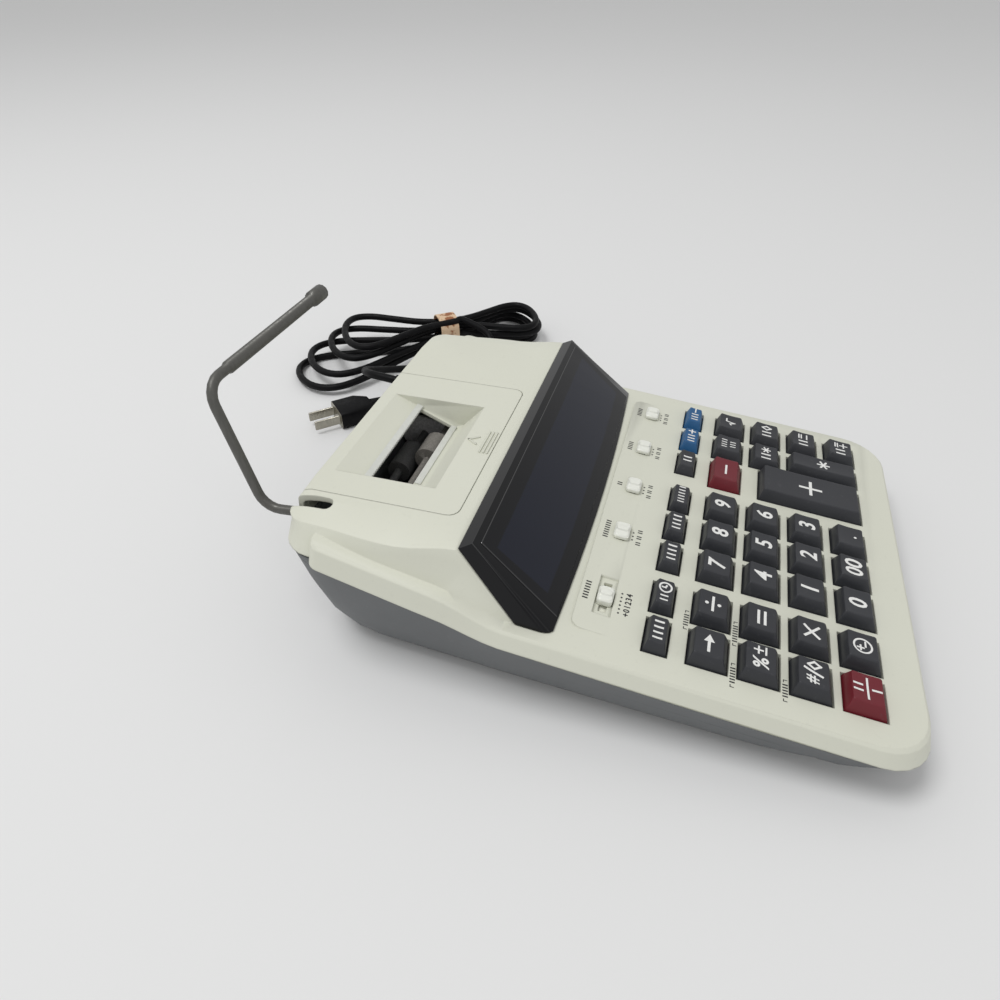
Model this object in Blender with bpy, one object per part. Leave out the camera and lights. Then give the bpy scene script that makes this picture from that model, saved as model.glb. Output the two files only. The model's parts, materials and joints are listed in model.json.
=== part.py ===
# A desk calculator with a paper printer: moulded two-part housing, 37 sprung keys, five slide
# switches, a drawn-back printer cover, a folding wire arm for the paper roll and a bundled cord.
#
# Most pieces are modelled in the deck frame: X to the user's right, Y to the rear, Z square to the
# key surface. Its origin lies on the key surface, on the centre line, at the rear edge of the top
# row of number keys. An empty tilts that frame so that the base stands level on Z = 0.

import bpy
import bmesh
from math import atan2, ceil, cos, hypot, pi, radians, sin, tan
from mathutils import Euler, Matrix, Vector

MM = 0.001

# Sizes that many pieces share
TILT = radians(6.0)
DECK_HEIGHT = 37.0 * MM
WALL = 2.4 * MM
GAP = 0.3 * MM
OVERRUN = 6.0 * MM

# The keys, which set the size of the deck
KEY_WIDTH = 18.2 * MM
KEY_DEPTH = 16.2 * MM
KEY_GAP_ACROSS = 3.4 * MM
KEY_GAP_ALONG = 3.8 * MM
KEY_PITCH = KEY_WIDTH + KEY_GAP_ACROSS
ROW_PITCH = KEY_DEPTH + KEY_GAP_ALONG
NUMBER_GROUP_GAP = 3.9 * MM
SIGN_GROUP_GAP = 5.3 * MM
MEMORY_GAP = 4.2 * MM
MEMORY_PITCH = KEY_WIDTH + MEMORY_GAP
WIDE_KEY_EXTRA = 4.6 * MM
KEY_SPACE = 3.8 * MM
PLUS_EXTRA = 7.4 * MM
PLUS_WIDTH = KEY_WIDTH + PLUS_EXTRA
PLUS_REAR_STEP = 5.2 * MM
ZERO_EXTRA = 1.7 * MM
SMALL_KEY_DEPTH = 10.0 * MM
SMALL_KEY_GAP = 7.5 * MM
SMALL_KEY_REAR = SMALL_KEY_DEPTH + SMALL_KEY_GAP
KEY_HEIGHT = 5.6 * MM
KEY_TOP_RISE = 0.5 * MM
SMALL_KEY_HEIGHT = 4.8 * MM
KEY_SIDE_TAPER = 2.3 * MM
KEY_REAR_TAPER = 1.5 * MM
KEY_FRONT_TAPER = 3.2 * MM
SMALL_FRONT_TAPER = 1.9 * MM
KEY_SKIRT = 0.8 * MM
KEY_ROUNDING = 0.5 * MM
KEY_DISH = 0.35 * MM
KEY_CORNER = 0.9 * MM
KEY_TOP_CORNER = 1.1 * MM
KEY_CLEARANCE = 0.4 * MM
KEY_LIP = 1.0 * MM
KEY_LIP_THICKNESS = 1.2 * MM
KEY_TRAVEL = 2.5 * MM
KEY_STEM = 6.0 * MM

# The deck round the keys
KEYS_LEFT_MARGIN = 15.0 * MM
KEYS_RIGHT_MARGIN = 14.6 * MM
KEYS_FRONT_MARGIN = 18.8 * MM
NUMBER_KEYS_ACROSS = 5 * KEY_PITCH + NUMBER_GROUP_GAP + SIGN_GROUP_GAP
OTHER_KEYS_ACROSS = KEY_WIDTH + WIDE_KEY_EXTRA + KEY_SPACE + MEMORY_PITCH + KEY_WIDTH
KEYS_ACROSS = NUMBER_KEYS_ACROSS + OTHER_KEYS_ACROSS
CASE_WIDTH = KEYS_LEFT_MARGIN + KEYS_ACROSS + KEYS_RIGHT_MARGIN
CASE_SIDE = 0.5 * CASE_WIDTH
CASE_FRONT = 3 * ROW_PITCH + KEY_DEPTH + KEYS_FRONT_MARGIN
KEYS_LEFT = KEYS_LEFT_MARGIN - CASE_SIDE

# The raised panel that carries the slide switches
PANEL_SET_IN = 17.0 * MM
PANEL_GAP = 5.5 * MM
PANEL_LENGTH = 24.0 * MM
PANEL_HALF_WIDTH = CASE_SIDE - PANEL_SET_IN
PANEL_FRONT = SMALL_KEY_REAR + PANEL_GAP
PANEL_REAR = PANEL_FRONT + PANEL_LENGTH
PANEL_SINK = 0.5 * MM
PANEL_RISE = 1.0 * MM
PANEL_CORNER = 4.0 * MM

# Places along Y of the bezel, the housing behind it and the cover, each from the one before
BEZEL_GAP = 5.5 * MM
BEZEL_FOOT_LENGTH = 16.0 * MM
BEZEL_LEAN = 27.5 * MM
COVER_STEP = 6.5 * MM
TROUGH_STEP = 15.0 * MM
LIP_STEP = 10.0 * MM
WINDOW_STEP = 3.5 * MM
WINDOW_LENGTH = 20.0 * MM
SHELF_LENGTH = 4.2 * MM
TROUGH_SLOPE_LENGTH = 10.0 * MM
REAR_MARGIN = 7.8 * MM
BEZEL_TOE = PANEL_REAR + BEZEL_GAP
HOUSING_WALL_FOOT = BEZEL_TOE + BEZEL_FOOT_LENGTH
HOUSING_TOP_FRONT = HOUSING_WALL_FOOT + BEZEL_LEAN
COVER_FRONT = HOUSING_TOP_FRONT + COVER_STEP
TROUGH_FRONT = COVER_FRONT + TROUGH_STEP
LIP_FRONT = TROUGH_FRONT + LIP_STEP
WINDOW_FRONT = LIP_FRONT + WINDOW_STEP
WINDOW_REAR = WINDOW_FRONT + WINDOW_LENGTH
SHELF_REAR = WINDOW_REAR + SHELF_LENGTH
TROUGH_REAR = SHELF_REAR + TROUGH_SLOPE_LENGTH
CASE_REAR = TROUGH_REAR + REAR_MARGIN

# The flange that runs along the deck and climbs beside the printer housing
FLANGE_REAR_STEP = 16.0 * MM
FLANGE_REAR = CASE_REAR - FLANGE_REAR_STEP
FLANGE_DRAFT = 2.4 * MM
FLANGE_EDGE = 1.2 * MM
FLANGE_FRONT_RADIUS = 20.0 * MM
FLANGE_REAR_RADIUS = 5.0 * MM
CLIMB_DELAY = 3.5 * MM
FLANGE_CLIMB_START = HOUSING_WALL_FOOT + CLIMB_DELAY
FLANGE_CLIMB_LENGTH = 32.0 * MM
FLANGE_CLIMB = 7.6 * MM
FLANGE_TAIL_CLIMB = 5.4 * MM
SEAM_DROP = 7.4 * MM
SEAM_CLIMB = 4.6 * MM
SEAM_TAIL_CLIMB = 5.8 * MM
FOOT_SINK = 0.5 * MM
FOOT_LIFT = 0.2 * MM
CASE_TAPER = 4.5 * MM
CASE_TAPER_START = 50.0 * MM
FRONT_STATIONS = 5
CLIMB_STATIONS = 13
CLIMB_CUT_LENGTH = 39.0 * MM
CLIMB_CUT_REAR_STEP = 14.0 * MM
FLANGE_OVERLAP = 0.2 * MM

# The printer housing behind the display
HOUSING_SET_IN = 9.5 * MM
HOUSING_HALF_WIDTH = CASE_SIDE - HOUSING_SET_IN
HOUSING_HEIGHT = 25.5 * MM
HOUSING_FALL_SHARE = 0.105
HOUSING_DRAFT_SHARE = 0.25
HOUSING_CROWN = 3.5 * MM
HOUSING_CROWN_LENGTH = 26.0 * MM
HOUSING_CROWN_WIDTH = 14.0 * MM
HOUSING_CROWN_STEP = 1.5 * MM
SHOULDER_SET_IN = 5.6 * MM
HOUSING_SHOULDER = HOUSING_HALF_WIDTH - SHOULDER_SET_IN
SHOULDER_SWELL = 1.6 * MM
SHOULDER_SWELL_LENGTH = 26.0 * MM
REAR_DRAW_STEP = 48.0 * MM
REAR_DRAW_START = CASE_REAR - REAR_DRAW_STEP
REAR_DRAW_LENGTH = 40.0 * MM
SHOULDER_REAR_DRAW = 3.4 * MM
WAIST_REAR_DRAW = 3.0 * MM
SHOULDER_CORNER_RADIUS = 9.0 * MM
WAIST_FRONT_SET_IN = 4.3 * MM
WAIST_FRONT_HEIGHT = 20.0 * MM
WAIST_REAR_SET_IN = 2.1 * MM
WAIST_REAR_HEIGHT = 12.0 * MM
HOUSING_WAIST_LENGTH = 46.0 * MM
HOUSING_CORNER_RADIUS = 14.0 * MM
HOUSING_STATIONS = 9
HOUSING_FRONT_RADIUS = 0.6 * MM

# The lower case: a drafted tray with a rising chin, flat underside and four feet
LOWER_RIM_INSET = 0.4 * MM
LOWER_FRONT_RADIUS = 20.0 * MM
LOWER_REAR_RADIUS = 25.0 * MM
BASE_CLEARANCE = 3.0 * MM
BASE_SET_IN_FRONT = 8.5 * MM
BASE_SET_IN_REAR = 23.0 * MM
BASE_FRONT_STEP = 5.0 * MM
BASE_REAR_STEP = 18.0 * MM
BASE_HALF_FRONT = CASE_SIDE - BASE_SET_IN_FRONT
BASE_HALF_REAR = CASE_SIDE - BASE_SET_IN_REAR
BASE_FRONT = CASE_FRONT - BASE_FRONT_STEP
BASE_REAR = CASE_REAR - BASE_REAR_STEP
BASE_FRONT_RADIUS = 36.0 * MM
BASE_REAR_RADIUS = 24.0 * MM
CHIN_LENGTH = 60.0 * MM
CHIN_START = CHIN_LENGTH - BASE_FRONT
CHIN_RISE = 19.0 * MM
CHIN_EDGE = 2.0 * MM
CHIN_POWER = 1.4
SIDE_SHARES = ((0.0, 0.0), (0.22, 0.35), (0.5, 0.7), (0.78, 0.92), (1.0, 1.0))
FOOT_RADIUS = 7.0 * MM
FOOT_SET_IN = 33.0 * MM
FOOT_FRONT_STEP = 47.0 * MM
FOOT_REAR_STEP = 45.0 * MM
FOOT_SPREAD = CASE_SIDE - FOOT_SET_IN
FOOT_FRONT = FOOT_FRONT_STEP - CASE_FRONT
FOOT_REAR = CASE_REAR - FOOT_REAR_STEP
FOOT_SIDES = 16
POST_RADIUS = 3.0 * MM
POST_SIDES = 8

# The circuit board under the keys
BOARD_DEPTH = 10.5 * MM
BOARD_THICKNESS = 1.6 * MM
BOARD_SIDE_STEP = 11.0 * MM
BOARD_FRONT_STEP = 23.0 * MM
BOARD_REAR_STEP = 3.0 * MM
BOARD_HALF_WIDTH = CASE_SIDE - BOARD_SIDE_STEP
BOARD_FRONT = CASE_FRONT - BOARD_FRONT_STEP
BOARD_REAR = PANEL_REAR - BOARD_REAR_STEP
BOARD_CORNER = 12.0 * MM

# The slide switches: places as shares of the panel's half width, and travel to either side
SWITCH_STEP_BACK = 11.0 * MM
SWITCH_Y = PANEL_REAR - SWITCH_STEP_BACK
DECIMAL_SHARE = -0.7722
ROUNDING_SHARE = -0.3044
TOTAL_SHARE = 0.0944
PRINT_SHARE = 0.4811
POWER_SHARE = 0.8733
DECIMAL_LEFT = 5.5 * MM
DECIMAL_RIGHT = 7.0 * MM
SWITCH_TRAVEL = 2.5 * MM
KNOB_WIDTH = 10.4 * MM
KNOB_DEPTH = 7.2 * MM
KNOB_HEIGHT = 2.2 * MM
KNOB_CORNER = 1.4 * MM
KNOB_ROUNDING = 0.7 * MM
KNOB_RIDGE_WIDTH = 2.4 * MM
KNOB_RIDGE_HEIGHT = 0.9 * MM
KNOB_STEM_WIDTH = 3.4 * MM
KNOB_STEM_DEPTH = 2.4 * MM
KNOB_STEM_LENGTH = 5.0 * MM
KNOB_CORNER_SHARE = 0.3
SLOT_CLEARANCE = 0.5 * MM
DECIMAL_KNOB_WIDTH = 9.0 * MM
DECIMAL_KNOB_DEPTH = 6.8 * MM
DECIMAL_POCKET_DEPTH = 1.1 * MM
DECIMAL_POCKET_MARGIN = 0.5 * MM
SHUTTER_THICKNESS = 1.0 * MM
SHUTTER_MARGIN = 1.0 * MM

# The display bezel, a glossy moulding across the whole housing
BEZEL_BOW = 3.0 * MM
BEZEL_RIDGE_BACK = 5.5 * MM
BEZEL_RIDGE_RISE = 4.0 * MM
BEZEL_TOE_RISE = 0.6 * MM
BEZEL_FOOT_OVERHANG = 0.8 * MM
BEZEL_TOP_SET_IN = 0.8 * MM
BEZEL_FOOT_HALF_WIDTH = HOUSING_HALF_WIDTH + BEZEL_FOOT_OVERHANG
BEZEL_TOP_HALF_WIDTH = HOUSING_SHOULDER - BEZEL_TOP_SET_IN
BEZEL_WALL = 2.6 * MM
BEZEL_COLUMNS = 10
BEZEL_CORNER = 5.0 * MM
BEZEL_CORNER_SHARES = ((0.976, 0.0), (0.989, 0.24), (0.997, 0.6), (1.0, 1.0))

# The printer cover with its paper trough, and the tear bar
COVER_SET_IN = 24.5 * MM
COVER_WIDTH = 106.0 * MM
COVER_LEFT = COVER_SET_IN - HOUSING_HALF_WIDTH
COVER_RIGHT = COVER_LEFT + COVER_WIDTH
COVER_CORNER = 5.0 * MM
COVER_SKIRT = 7.0 * MM
TROUGH_SET_IN = 15.5 * MM
TROUGH_WIDTH = 69.0 * MM
TROUGH_LEFT = COVER_LEFT + TROUGH_SET_IN
TROUGH_RIGHT = TROUGH_LEFT + TROUGH_WIDTH
TROUGH_WALL = 1.8 * MM
WINDOW_MARGIN = 2.0 * MM
WINDOW_REAR_HEIGHT = 14.2 * MM
WINDOW_FRONT_HEIGHT = 7.8 * MM
SHELF_HEIGHT = 15.0 * MM
LIP_HEIGHT = 9.6 * MM
LEDGE_REACH = 2.8 * MM
LEDGE_THICKNESS = 1.7 * MM
LEDGE_MARGIN = 5.0 * MM
TEAR_BAR_WIDTH = 3.4 * MM
TEAR_BAR_THICKNESS = 0.9 * MM
TEAR_BAR_REACH = 1.4 * MM
TEAR_TOOTH_PITCH = 1.5 * MM
TEAR_TOOTH_DEPTH = 0.7 * MM
PAPER_SLOT_LOW = 1.0 * MM

# The folding wire arm that holds a paper roll
ARM_SET_IN = 18.0 * MM
ARM_X = ARM_SET_IN - HOUSING_HALF_WIDTH
ARM_WIRE = 4.4 * MM
ARM_PIVOT_STEP = 11.0 * MM
ARM_KNEE_STEP = 26.0 * MM
ARM_TOP_STEP = 19.0 * MM
ARM_PIVOT_Y = CASE_REAR - ARM_PIVOT_STEP
ARM_PIVOT_Z = 11.0 * MM
ARM_KNEE_Y = ARM_PIVOT_Y + ARM_KNEE_STEP
ARM_KNEE_Z = 5.8 * MM
ARM_TOP_Y = ARM_KNEE_Y + ARM_TOP_STEP
ARM_TOP_Z = 62.6 * MM
ARM_REACH = 98.0 * MM
ARM_SLEEVE = 5.6 * MM
ARM_SLEEVE_START = 15.0 * MM
ARM_CAP = 7.6 * MM
ARM_CAP_LENGTH = 12.0 * MM
ARM_CAP_ROUNDING = 1.9 * MM
ARM_CAP_END = 2.4 * MM
ARM_BEND = 9.0 * MM
ARM_AXLE = 8.5 * MM
ARM_AXLE_BEND = 3.0 * MM
ARM_SLOT_WIDTH = 6.0 * MM
ARM_SLOT_STEP = 7.0 * MM
ARM_SLOT_FRONT = ARM_PIVOT_Y - ARM_SLOT_STEP
ARM_SIDES = 12
ARM_BEND_STEPS = 5
LUG_THICKNESS = 2.4 * MM
LUG_LENGTH = 11.0 * MM
LUG_DROP = 5.5 * MM

# The printer mechanism: plates, rollers, type wheel, gears and motor
FRAME_ROOM_LEFT = 8.5 * MM
FRAME_ROOM_RIGHT = 10.5 * MM
FRAME_LEFT = TROUGH_LEFT - FRAME_ROOM_LEFT
FRAME_RIGHT = TROUGH_RIGHT + FRAME_ROOM_RIGHT
FRAME_PLATE = 1.6 * MM
FRAME_FRONT_STEP = 9.5 * MM
FRAME_REAR_STEP = 9.0 * MM
FRAME_FOOT_STEP = 16.0 * MM
FRAME_FRONT = COVER_FRONT + FRAME_FRONT_STEP
FRAME_REAR = CASE_REAR - FRAME_REAR_STEP
FRAME_REAR_FOOT = FRAME_REAR - FRAME_FOOT_STEP
FRAME_FLOOR = -38.5 * MM
FRAME_TOP = 1.5 * MM
FRAME_NOSE = 5.0 * MM
BEARING_CLEARANCE = 0.3 * MM
SHAFT_RADIUS = 2.0 * MM
GEAR_MODULE = 1.0 * MM
GEAR_WIDTH = 4.0 * MM
GEAR_TEETH = 27
PINION_TEETH = 10
GEAR_TIP_SHARE = 0.9
GEAR_ROOT_SHARE = 1.15
ROLLER_STEP = 1.0 * MM
ROLLER_Y = WINDOW_REAR + ROLLER_STEP
ROLLER_Z = -9.0 * MM
ROLLER_RADIUS = 6.0 * MM
ROLLER_BAND = 20.0 * MM
ROLLER_SIDES = 16
WHEEL_Y = ROLLER_Y - GEAR_MODULE * GEAR_TEETH
WHEEL_Z = -8.0 * MM
WHEEL_RADIUS = 8.0 * MM
WHEEL_DISCS = 11
WHEEL_DISC_SHARE = 0.62
WHEEL_SIDES = 12
INK_STEP = 12.0 * MM
INK_Y = WINDOW_REAR - INK_STEP
INK_Z = -1.8 * MM
INK_RADIUS = 6.8 * MM
INK_LENGTH = 16.0 * MM
INK_SET_IN = 55.5 * MM
INK_CENTRE = TROUGH_LEFT + INK_SET_IN
INK_SIDES = 16
MOTOR_ANGLE = radians(-120.0)
MOTOR_RADIUS = 9.0 * MM
MOTOR_LENGTH = 30.0 * MM
MOTOR_BOSS_RADIUS = 3.4 * MM
MOTOR_SIDES = 20
PINION_SHAFT = 1.2 * MM

# The mains transformer on the floor of the lower case
TRANSFORMER_GAP = 12.5 * MM
TRANSFORMER_REAR_STEP = 41.0 * MM
TRANSFORMER_WIDTH = 41.0 * MM
TRANSFORMER_X = FRAME_RIGHT + TRANSFORMER_GAP + 0.5 * TRANSFORMER_WIDTH
TRANSFORMER_Y = CASE_REAR - TRANSFORMER_REAR_STEP
TRANSFORMER_DEPTH = 26.0 * MM
TRANSFORMER_HEIGHT = 34.0 * MM
TRANSFORMER_BASE = -40.0 * MM
COIL_WIDTH = 24.0 * MM
COIL_DEPTH = 38.0 * MM
COIL_HEIGHT = 22.0 * MM
COIL_CORNER = 5.0 * MM

# The cord with its strain relief, hank and plug
RELIEF_SET_IN = 35.0 * MM
RELIEF_X = CASE_SIDE - RELIEF_SET_IN
RELIEF_Z = -14.0 * MM
RELIEF_FLANGE = 6.6 * MM
RELIEF_NECK = 4.6 * MM
RELIEF_LIP = 2.0 * MM
RELIEF_SLEEVE = 4.2 * MM
RELIEF_LENGTH = 20.0 * MM
RELIEF_TAIL = 3.4 * MM
RELIEF_SIDES = 16
CORD_DIAMETER = 5.0 * MM
CORD_SPACING = 14.0 * MM
HANK_X = 201.5 * MM
HANK_Y = 150.0 * MM
HANK_REACH = 135.0 * MM
HANK_REACH_LOSS = 14.0 * MM
HANK_BACK_REACH = 74.0 * MM
HANK_LOBE = 68.0 * MM
HANK_BACK_LOBE = 50.0 * MM
HANK_WAIST = 2.95 * MM
HANK_STEP = 5.9 * MM
HANK_LAYER = 5.75 * MM
HANK_CLIMB_SHARE = 0.34
HANK_TURNS = 4
HANK_TURN_POINTS = 24
HANK_AXIS = radians(138.0)
HANK_FAN = radians(-5.0)
PLUG_X = 103.6 * MM
PLUG_Y = 160.8 * MM
PLUG_ANGLE = radians(136.0)
PLUG_LENGTH = 24.0 * MM
PLUG_WIDTH = 22.0 * MM
PLUG_HEIGHT = 12.0 * MM
PLUG_TAIL = 8.0 * MM
PLUG_TAIL_LENGTH = 12.0 * MM
PLUG_TIP_SHARE = 0.8
PLUG_NECK_WIDTH_SHARE = 0.62
PLUG_NECK_HEIGHT_SHARE = 0.8
PLUG_NECK_LENGTH_SHARE = 0.35
PLUG_CORNER_SHARE = 0.45
BLADE_LENGTH = 17.0 * MM
BLADE_WIDTH = 6.3 * MM
BLADE_THICKNESS = 1.5 * MM
BLADE_SPACING = 12.7 * MM

# The cord's free routes in the world frame, in millimetres: relief to hank, and plug to hank
CORD_ROUTE = (
    (75.0, 155.0, 43.0),
    (87.0, 165.0, 37.5),
    (104.0, 166.0, 29.0),
    (122.0, 157.5, 21.5),
    (140.0, 143.5, 15.5),
    (157.0, 127.0, 11.0),
    (173.0, 115.5, 9.5),
    (188.0, 112.5, 13.0),
    (197.5, 119.0, 19.5),
)
PLUG_ROUTE = (
    (114.5, 150.3, 5.0),
    (124.0, 144.5, 3.0),
    (137.0, 143.0, 2.6),
    (152.0, 147.0, 2.6),
    (167.0, 153.0, 2.6),
    (181.0, 154.5, 2.6),
)

# Colours, as red, green and blue, and how rough and how metallic each finish is
IVORY = ((0.67, 0.66, 0.58), 0.5, 0.0)
GREY = ((0.13, 0.135, 0.145), 0.6, 0.0)
KEY_DARK = ((0.035, 0.036, 0.042), 0.45, 0.0)
KEY_RED = ((0.17, 0.01, 0.02), 0.45, 0.0)
KEY_BLUE = ((0.01, 0.08, 0.24), 0.45, 0.0)
KNOB_WHITE = ((0.72, 0.72, 0.68), 0.35, 0.0)
GLOSS_BLACK = ((0.012, 0.013, 0.02), 0.12, 0.0)
CLEAR_GREY = ((0.6, 0.6, 0.57), 0.3, 0.0)
WIRE_STEEL = ((0.13, 0.13, 0.12), 0.35, 0.9)
FRAME_BLACK = ((0.03, 0.03, 0.033), 0.6, 0.0)
ROLLER_RUBBER = ((0.05, 0.05, 0.05), 0.8, 0.0)
INK_GREY = ((0.12, 0.12, 0.115), 0.7, 0.0)
MOTOR_STEEL = ((0.5, 0.5, 0.5), 0.35, 1.0)
GEAR_WHITE = ((0.7, 0.7, 0.66), 0.5, 0.0)
BOARD_BROWN = ((0.25, 0.13, 0.05), 0.6, 0.0)
CORE_STEEL = ((0.2, 0.2, 0.2), 0.5, 0.8)
CORD_BLACK = ((0.012, 0.012, 0.013), 0.5, 0.0)


def start_empty_scene():
    for old in list(bpy.data.objects):
        bpy.data.objects.remove(old)


def make_material(name, finish):
    colour, roughness, metallic = finish
    material = bpy.data.materials.new(name)
    material.use_nodes = True
    shader = material.node_tree.nodes["Principled BSDF"]
    shader.inputs["Base Color"].default_value = (*colour, 1.0)
    shader.inputs["Roughness"].default_value = roughness
    shader.inputs["Metallic"].default_value = metallic
    material.diffuse_color = (*colour, 1.0)
    return material


def smooth_step(share):
    share = min(max(share, 0.0), 1.0)
    return share * share * (3 - 2 * share)


def spaced(low, high, count):
    """Evenly spaced values from low to high, both ends included."""
    return [low + (high - low) * index / (count - 1) for index in range(count)]


# Mesh building


def solid_from_rings(rings):
    """A closed body from rings with equal point counts, each end closed by one face."""
    body = bmesh.new()
    loops = [[body.verts.new(point) for point in ring] for ring in rings]
    for low, high in zip(loops, loops[1:]):
        for index in range(len(low)):
            after = (index + 1) % len(low)
            body.faces.new((low[index], low[after], high[after], high[index]))
    body.faces.new(list(reversed(loops[0])))
    body.faces.new(loops[-1])
    bmesh.ops.recalc_face_normals(body, faces=body.faces)
    return body


def solid_from_half_levels(levels):
    """A body that is alike on both sides of X = 0. Each level lists the right half's points from
    front to rear; the top and bottom are closed by strips that run straight across."""
    body = bmesh.new()
    right = [[body.verts.new(point) for point in level] for level in levels]
    left = [[body.verts.new((-point[0], point[1], point[2])) for point in level] for level in levels]
    for side in (right, left):
        for low, high in zip(side, side[1:]):
            for index in range(len(low) - 1):
                body.faces.new((low[index], low[index + 1], high[index + 1], high[index]))
    for end in (0, -1):
        for low, high in zip(range(len(levels) - 1), range(1, len(levels))):
            body.faces.new((right[low][end], right[high][end], left[high][end], left[low][end]))
        for index in range(len(levels[end]) - 1):
            corners = (right[end][index], right[end][index + 1], left[end][index + 1], left[end][index])
            body.faces.new(corners)
    bmesh.ops.triangulate(body, faces=body.faces)
    bmesh.ops.recalc_face_normals(body, faces=body.faces)
    return body


def solid_across(profile, low, high):
    """A prism along X over a closed profile of (y, z) points."""
    return solid_from_rings([[(x, y, z) for y, z in profile] for x in (low, high)])


def solid_upright(outline, low, high):
    """A prism along Z over a closed outline of (x, y) points."""
    return solid_from_rings([[(x, y, z) for x, y in outline] for z in (low, high)])


def solid_box(low, high):
    outline = [(low[0], low[1]), (high[0], low[1]), (high[0], high[1]), (low[0], high[1])]
    return solid_upright(outline, low[2], high[2])


def turned_across(stations, sides, y, z):
    """A body turned about a line along X through (y, z), from (x, radius) stations."""
    rings = []
    for x, radius in stations:
        turn = [2 * pi * index / sides for index in range(sides)]
        rings.append([(x, y + radius * cos(angle), z + radius * sin(angle)) for angle in turn])
    return solid_from_rings(rings)


def turned_upright(stations, sides, x, y):
    """A body turned about a line along Z through (x, y), from (z, radius) stations."""
    rings = []
    for z, radius in stations:
        turn = [2 * pi * index / sides for index in range(sides)]
        rings.append([(x + radius * cos(angle), y + radius * sin(angle), z) for angle in turn])
    return solid_from_rings(rings)


def rounded_rectangle(left, front, right, rear, radius, steps):
    """The (x, y) outline of a rectangle with round corners, anticlockwise from the right front."""
    points = []
    centres = (
        (right - radius, front + radius, -0.5 * pi),
        (right - radius, rear - radius, 0.0),
        (left + radius, rear - radius, 0.5 * pi),
        (left + radius, front + radius, pi),
    )
    for x, y, start in centres:
        for index in range(steps + 1):
            angle = start + 0.5 * pi * index / steps
            points.append((x + radius * cos(angle), y + radius * sin(angle)))
    return points


def offset_profile(profile, distance):
    """A closed anticlockwise (y, z) profile with every side moved outward by distance."""
    moved = []
    for index, (y, z) in enumerate(profile):
        before = Vector(profile[index - 1])
        after = Vector(profile[(index + 1) % len(profile)])
        here = Vector((y, z))
        inward = (here - before).normalized()
        onward = (after - here).normalized()
        normal_in = Vector((inward.y, -inward.x))
        normal_on = Vector((onward.y, -onward.x))
        mitre = (normal_in + normal_on).normalized()
        reach = distance / mitre.dot(normal_on)
        moved.append((y + mitre.x * reach, z + mitre.y * reach))
    return moved


def object_from(name, body, material=None, parent=None, origin=(0, 0, 0)):
    """Gives a bmesh its own object, with the object's origin at a chosen point."""
    bmesh.ops.translate(body, verts=body.verts, vec=-Vector(origin))
    mesh = bpy.data.meshes.new(name)
    body.to_mesh(mesh)
    body.free()
    if material:
        mesh.materials.append(material)
    piece = bpy.data.objects.new(name, mesh)
    bpy.context.collection.objects.link(piece)
    piece.parent = parent
    piece.location = origin
    return piece


def combine(base, body, operation):
    """Applies one Boolean to a bmesh and returns the result as a new bmesh."""
    target = object_from("target", base)
    tool = object_from("tool", body)
    modifier = target.modifiers.new("combine", "BOOLEAN")
    modifier.operation = operation
    modifier.solver = "EXACT"
    modifier.object = tool
    bpy.context.view_layer.update()
    graph = bpy.context.evaluated_depsgraph_get()
    mesh = bpy.data.meshes.new_from_object(target.evaluated_get(graph))
    result = bmesh.new()
    result.from_mesh(mesh)
    for piece in (target, tool):
        bpy.data.objects.remove(piece)
    bpy.data.meshes.remove(mesh)
    return result


def joined(bodies):
    """Several separate closed bodies as one bmesh, for use as one cutter."""
    whole = bmesh.new()
    for body in bodies:
        mesh = bpy.data.meshes.new("loose")
        body.to_mesh(mesh)
        body.free()
        whole.from_mesh(mesh)
        bpy.data.meshes.remove(mesh)
    return whole


def shade_round(piece, degrees=35.0):
    piece.data.shade_smooth()
    piece.data.set_sharp_from_angle(angle=radians(degrees))
    return piece


# Heights of the housing over the deck frame


def climb_share(y):
    return smooth_step((y - FLANGE_CLIMB_START) / FLANGE_CLIMB_LENGTH)


def tail_share(y):
    start = FLANGE_CLIMB_START + FLANGE_CLIMB_LENGTH
    return min(max((y - start) / (FLANGE_REAR - start), 0.0), 1.0)


def flange_height(y):
    return FLANGE_CLIMB * climb_share(y) + FLANGE_TAIL_CLIMB * tail_share(y)


def seam_height(y):
    """The lower edge of the flange, which runs on round the rear at the height it has reached."""
    return -SEAM_DROP + SEAM_CLIMB * climb_share(y) + SEAM_TAIL_CLIMB * tail_share(y)


def foot_height(y):
    """The foot of the printer housing: inside the flange in front and at the seam behind it."""
    return -FOOT_SINK + (FOOT_SINK + seam_height(CASE_REAR) + FOOT_LIFT) * climb_share(y)


def housing_top(y):
    return HOUSING_HEIGHT - HOUSING_FALL_SHARE * (y - HOUSING_TOP_FRONT)


def housing_half_width(z):
    return HOUSING_HALF_WIDTH - HOUSING_DRAFT_SHARE * z


def case_taper(y):
    share = max((y - CASE_TAPER_START) / (FLANGE_REAR - CASE_TAPER_START), 0.0)
    return CASE_TAPER * min(share, 1.0)


def tapered(outline):
    """An outline with its sides drawn in towards the rear, as the case is."""
    widest = max(x for x, _ in outline)
    return [(x * (1 - case_taper(y) / widest), y) for x, y in outline]


def table_height(y):
    """Height in the deck frame of the table under the point at y."""
    return -DECK_HEIGHT / cos(TILT) - y * tan(TILT)


def base_height(y):
    """Height in the deck frame of the lower case's underside, with the chin rising in front."""
    level = table_height(y) + BASE_CLEARANCE / cos(TILT)
    share = min(max((CHIN_START - y) / (CHIN_START + BASE_FRONT), 0.0), 1.0)
    return min(level + CHIN_RISE * share**CHIN_POWER, seam_height(y) - CHIN_EDGE)


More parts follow.
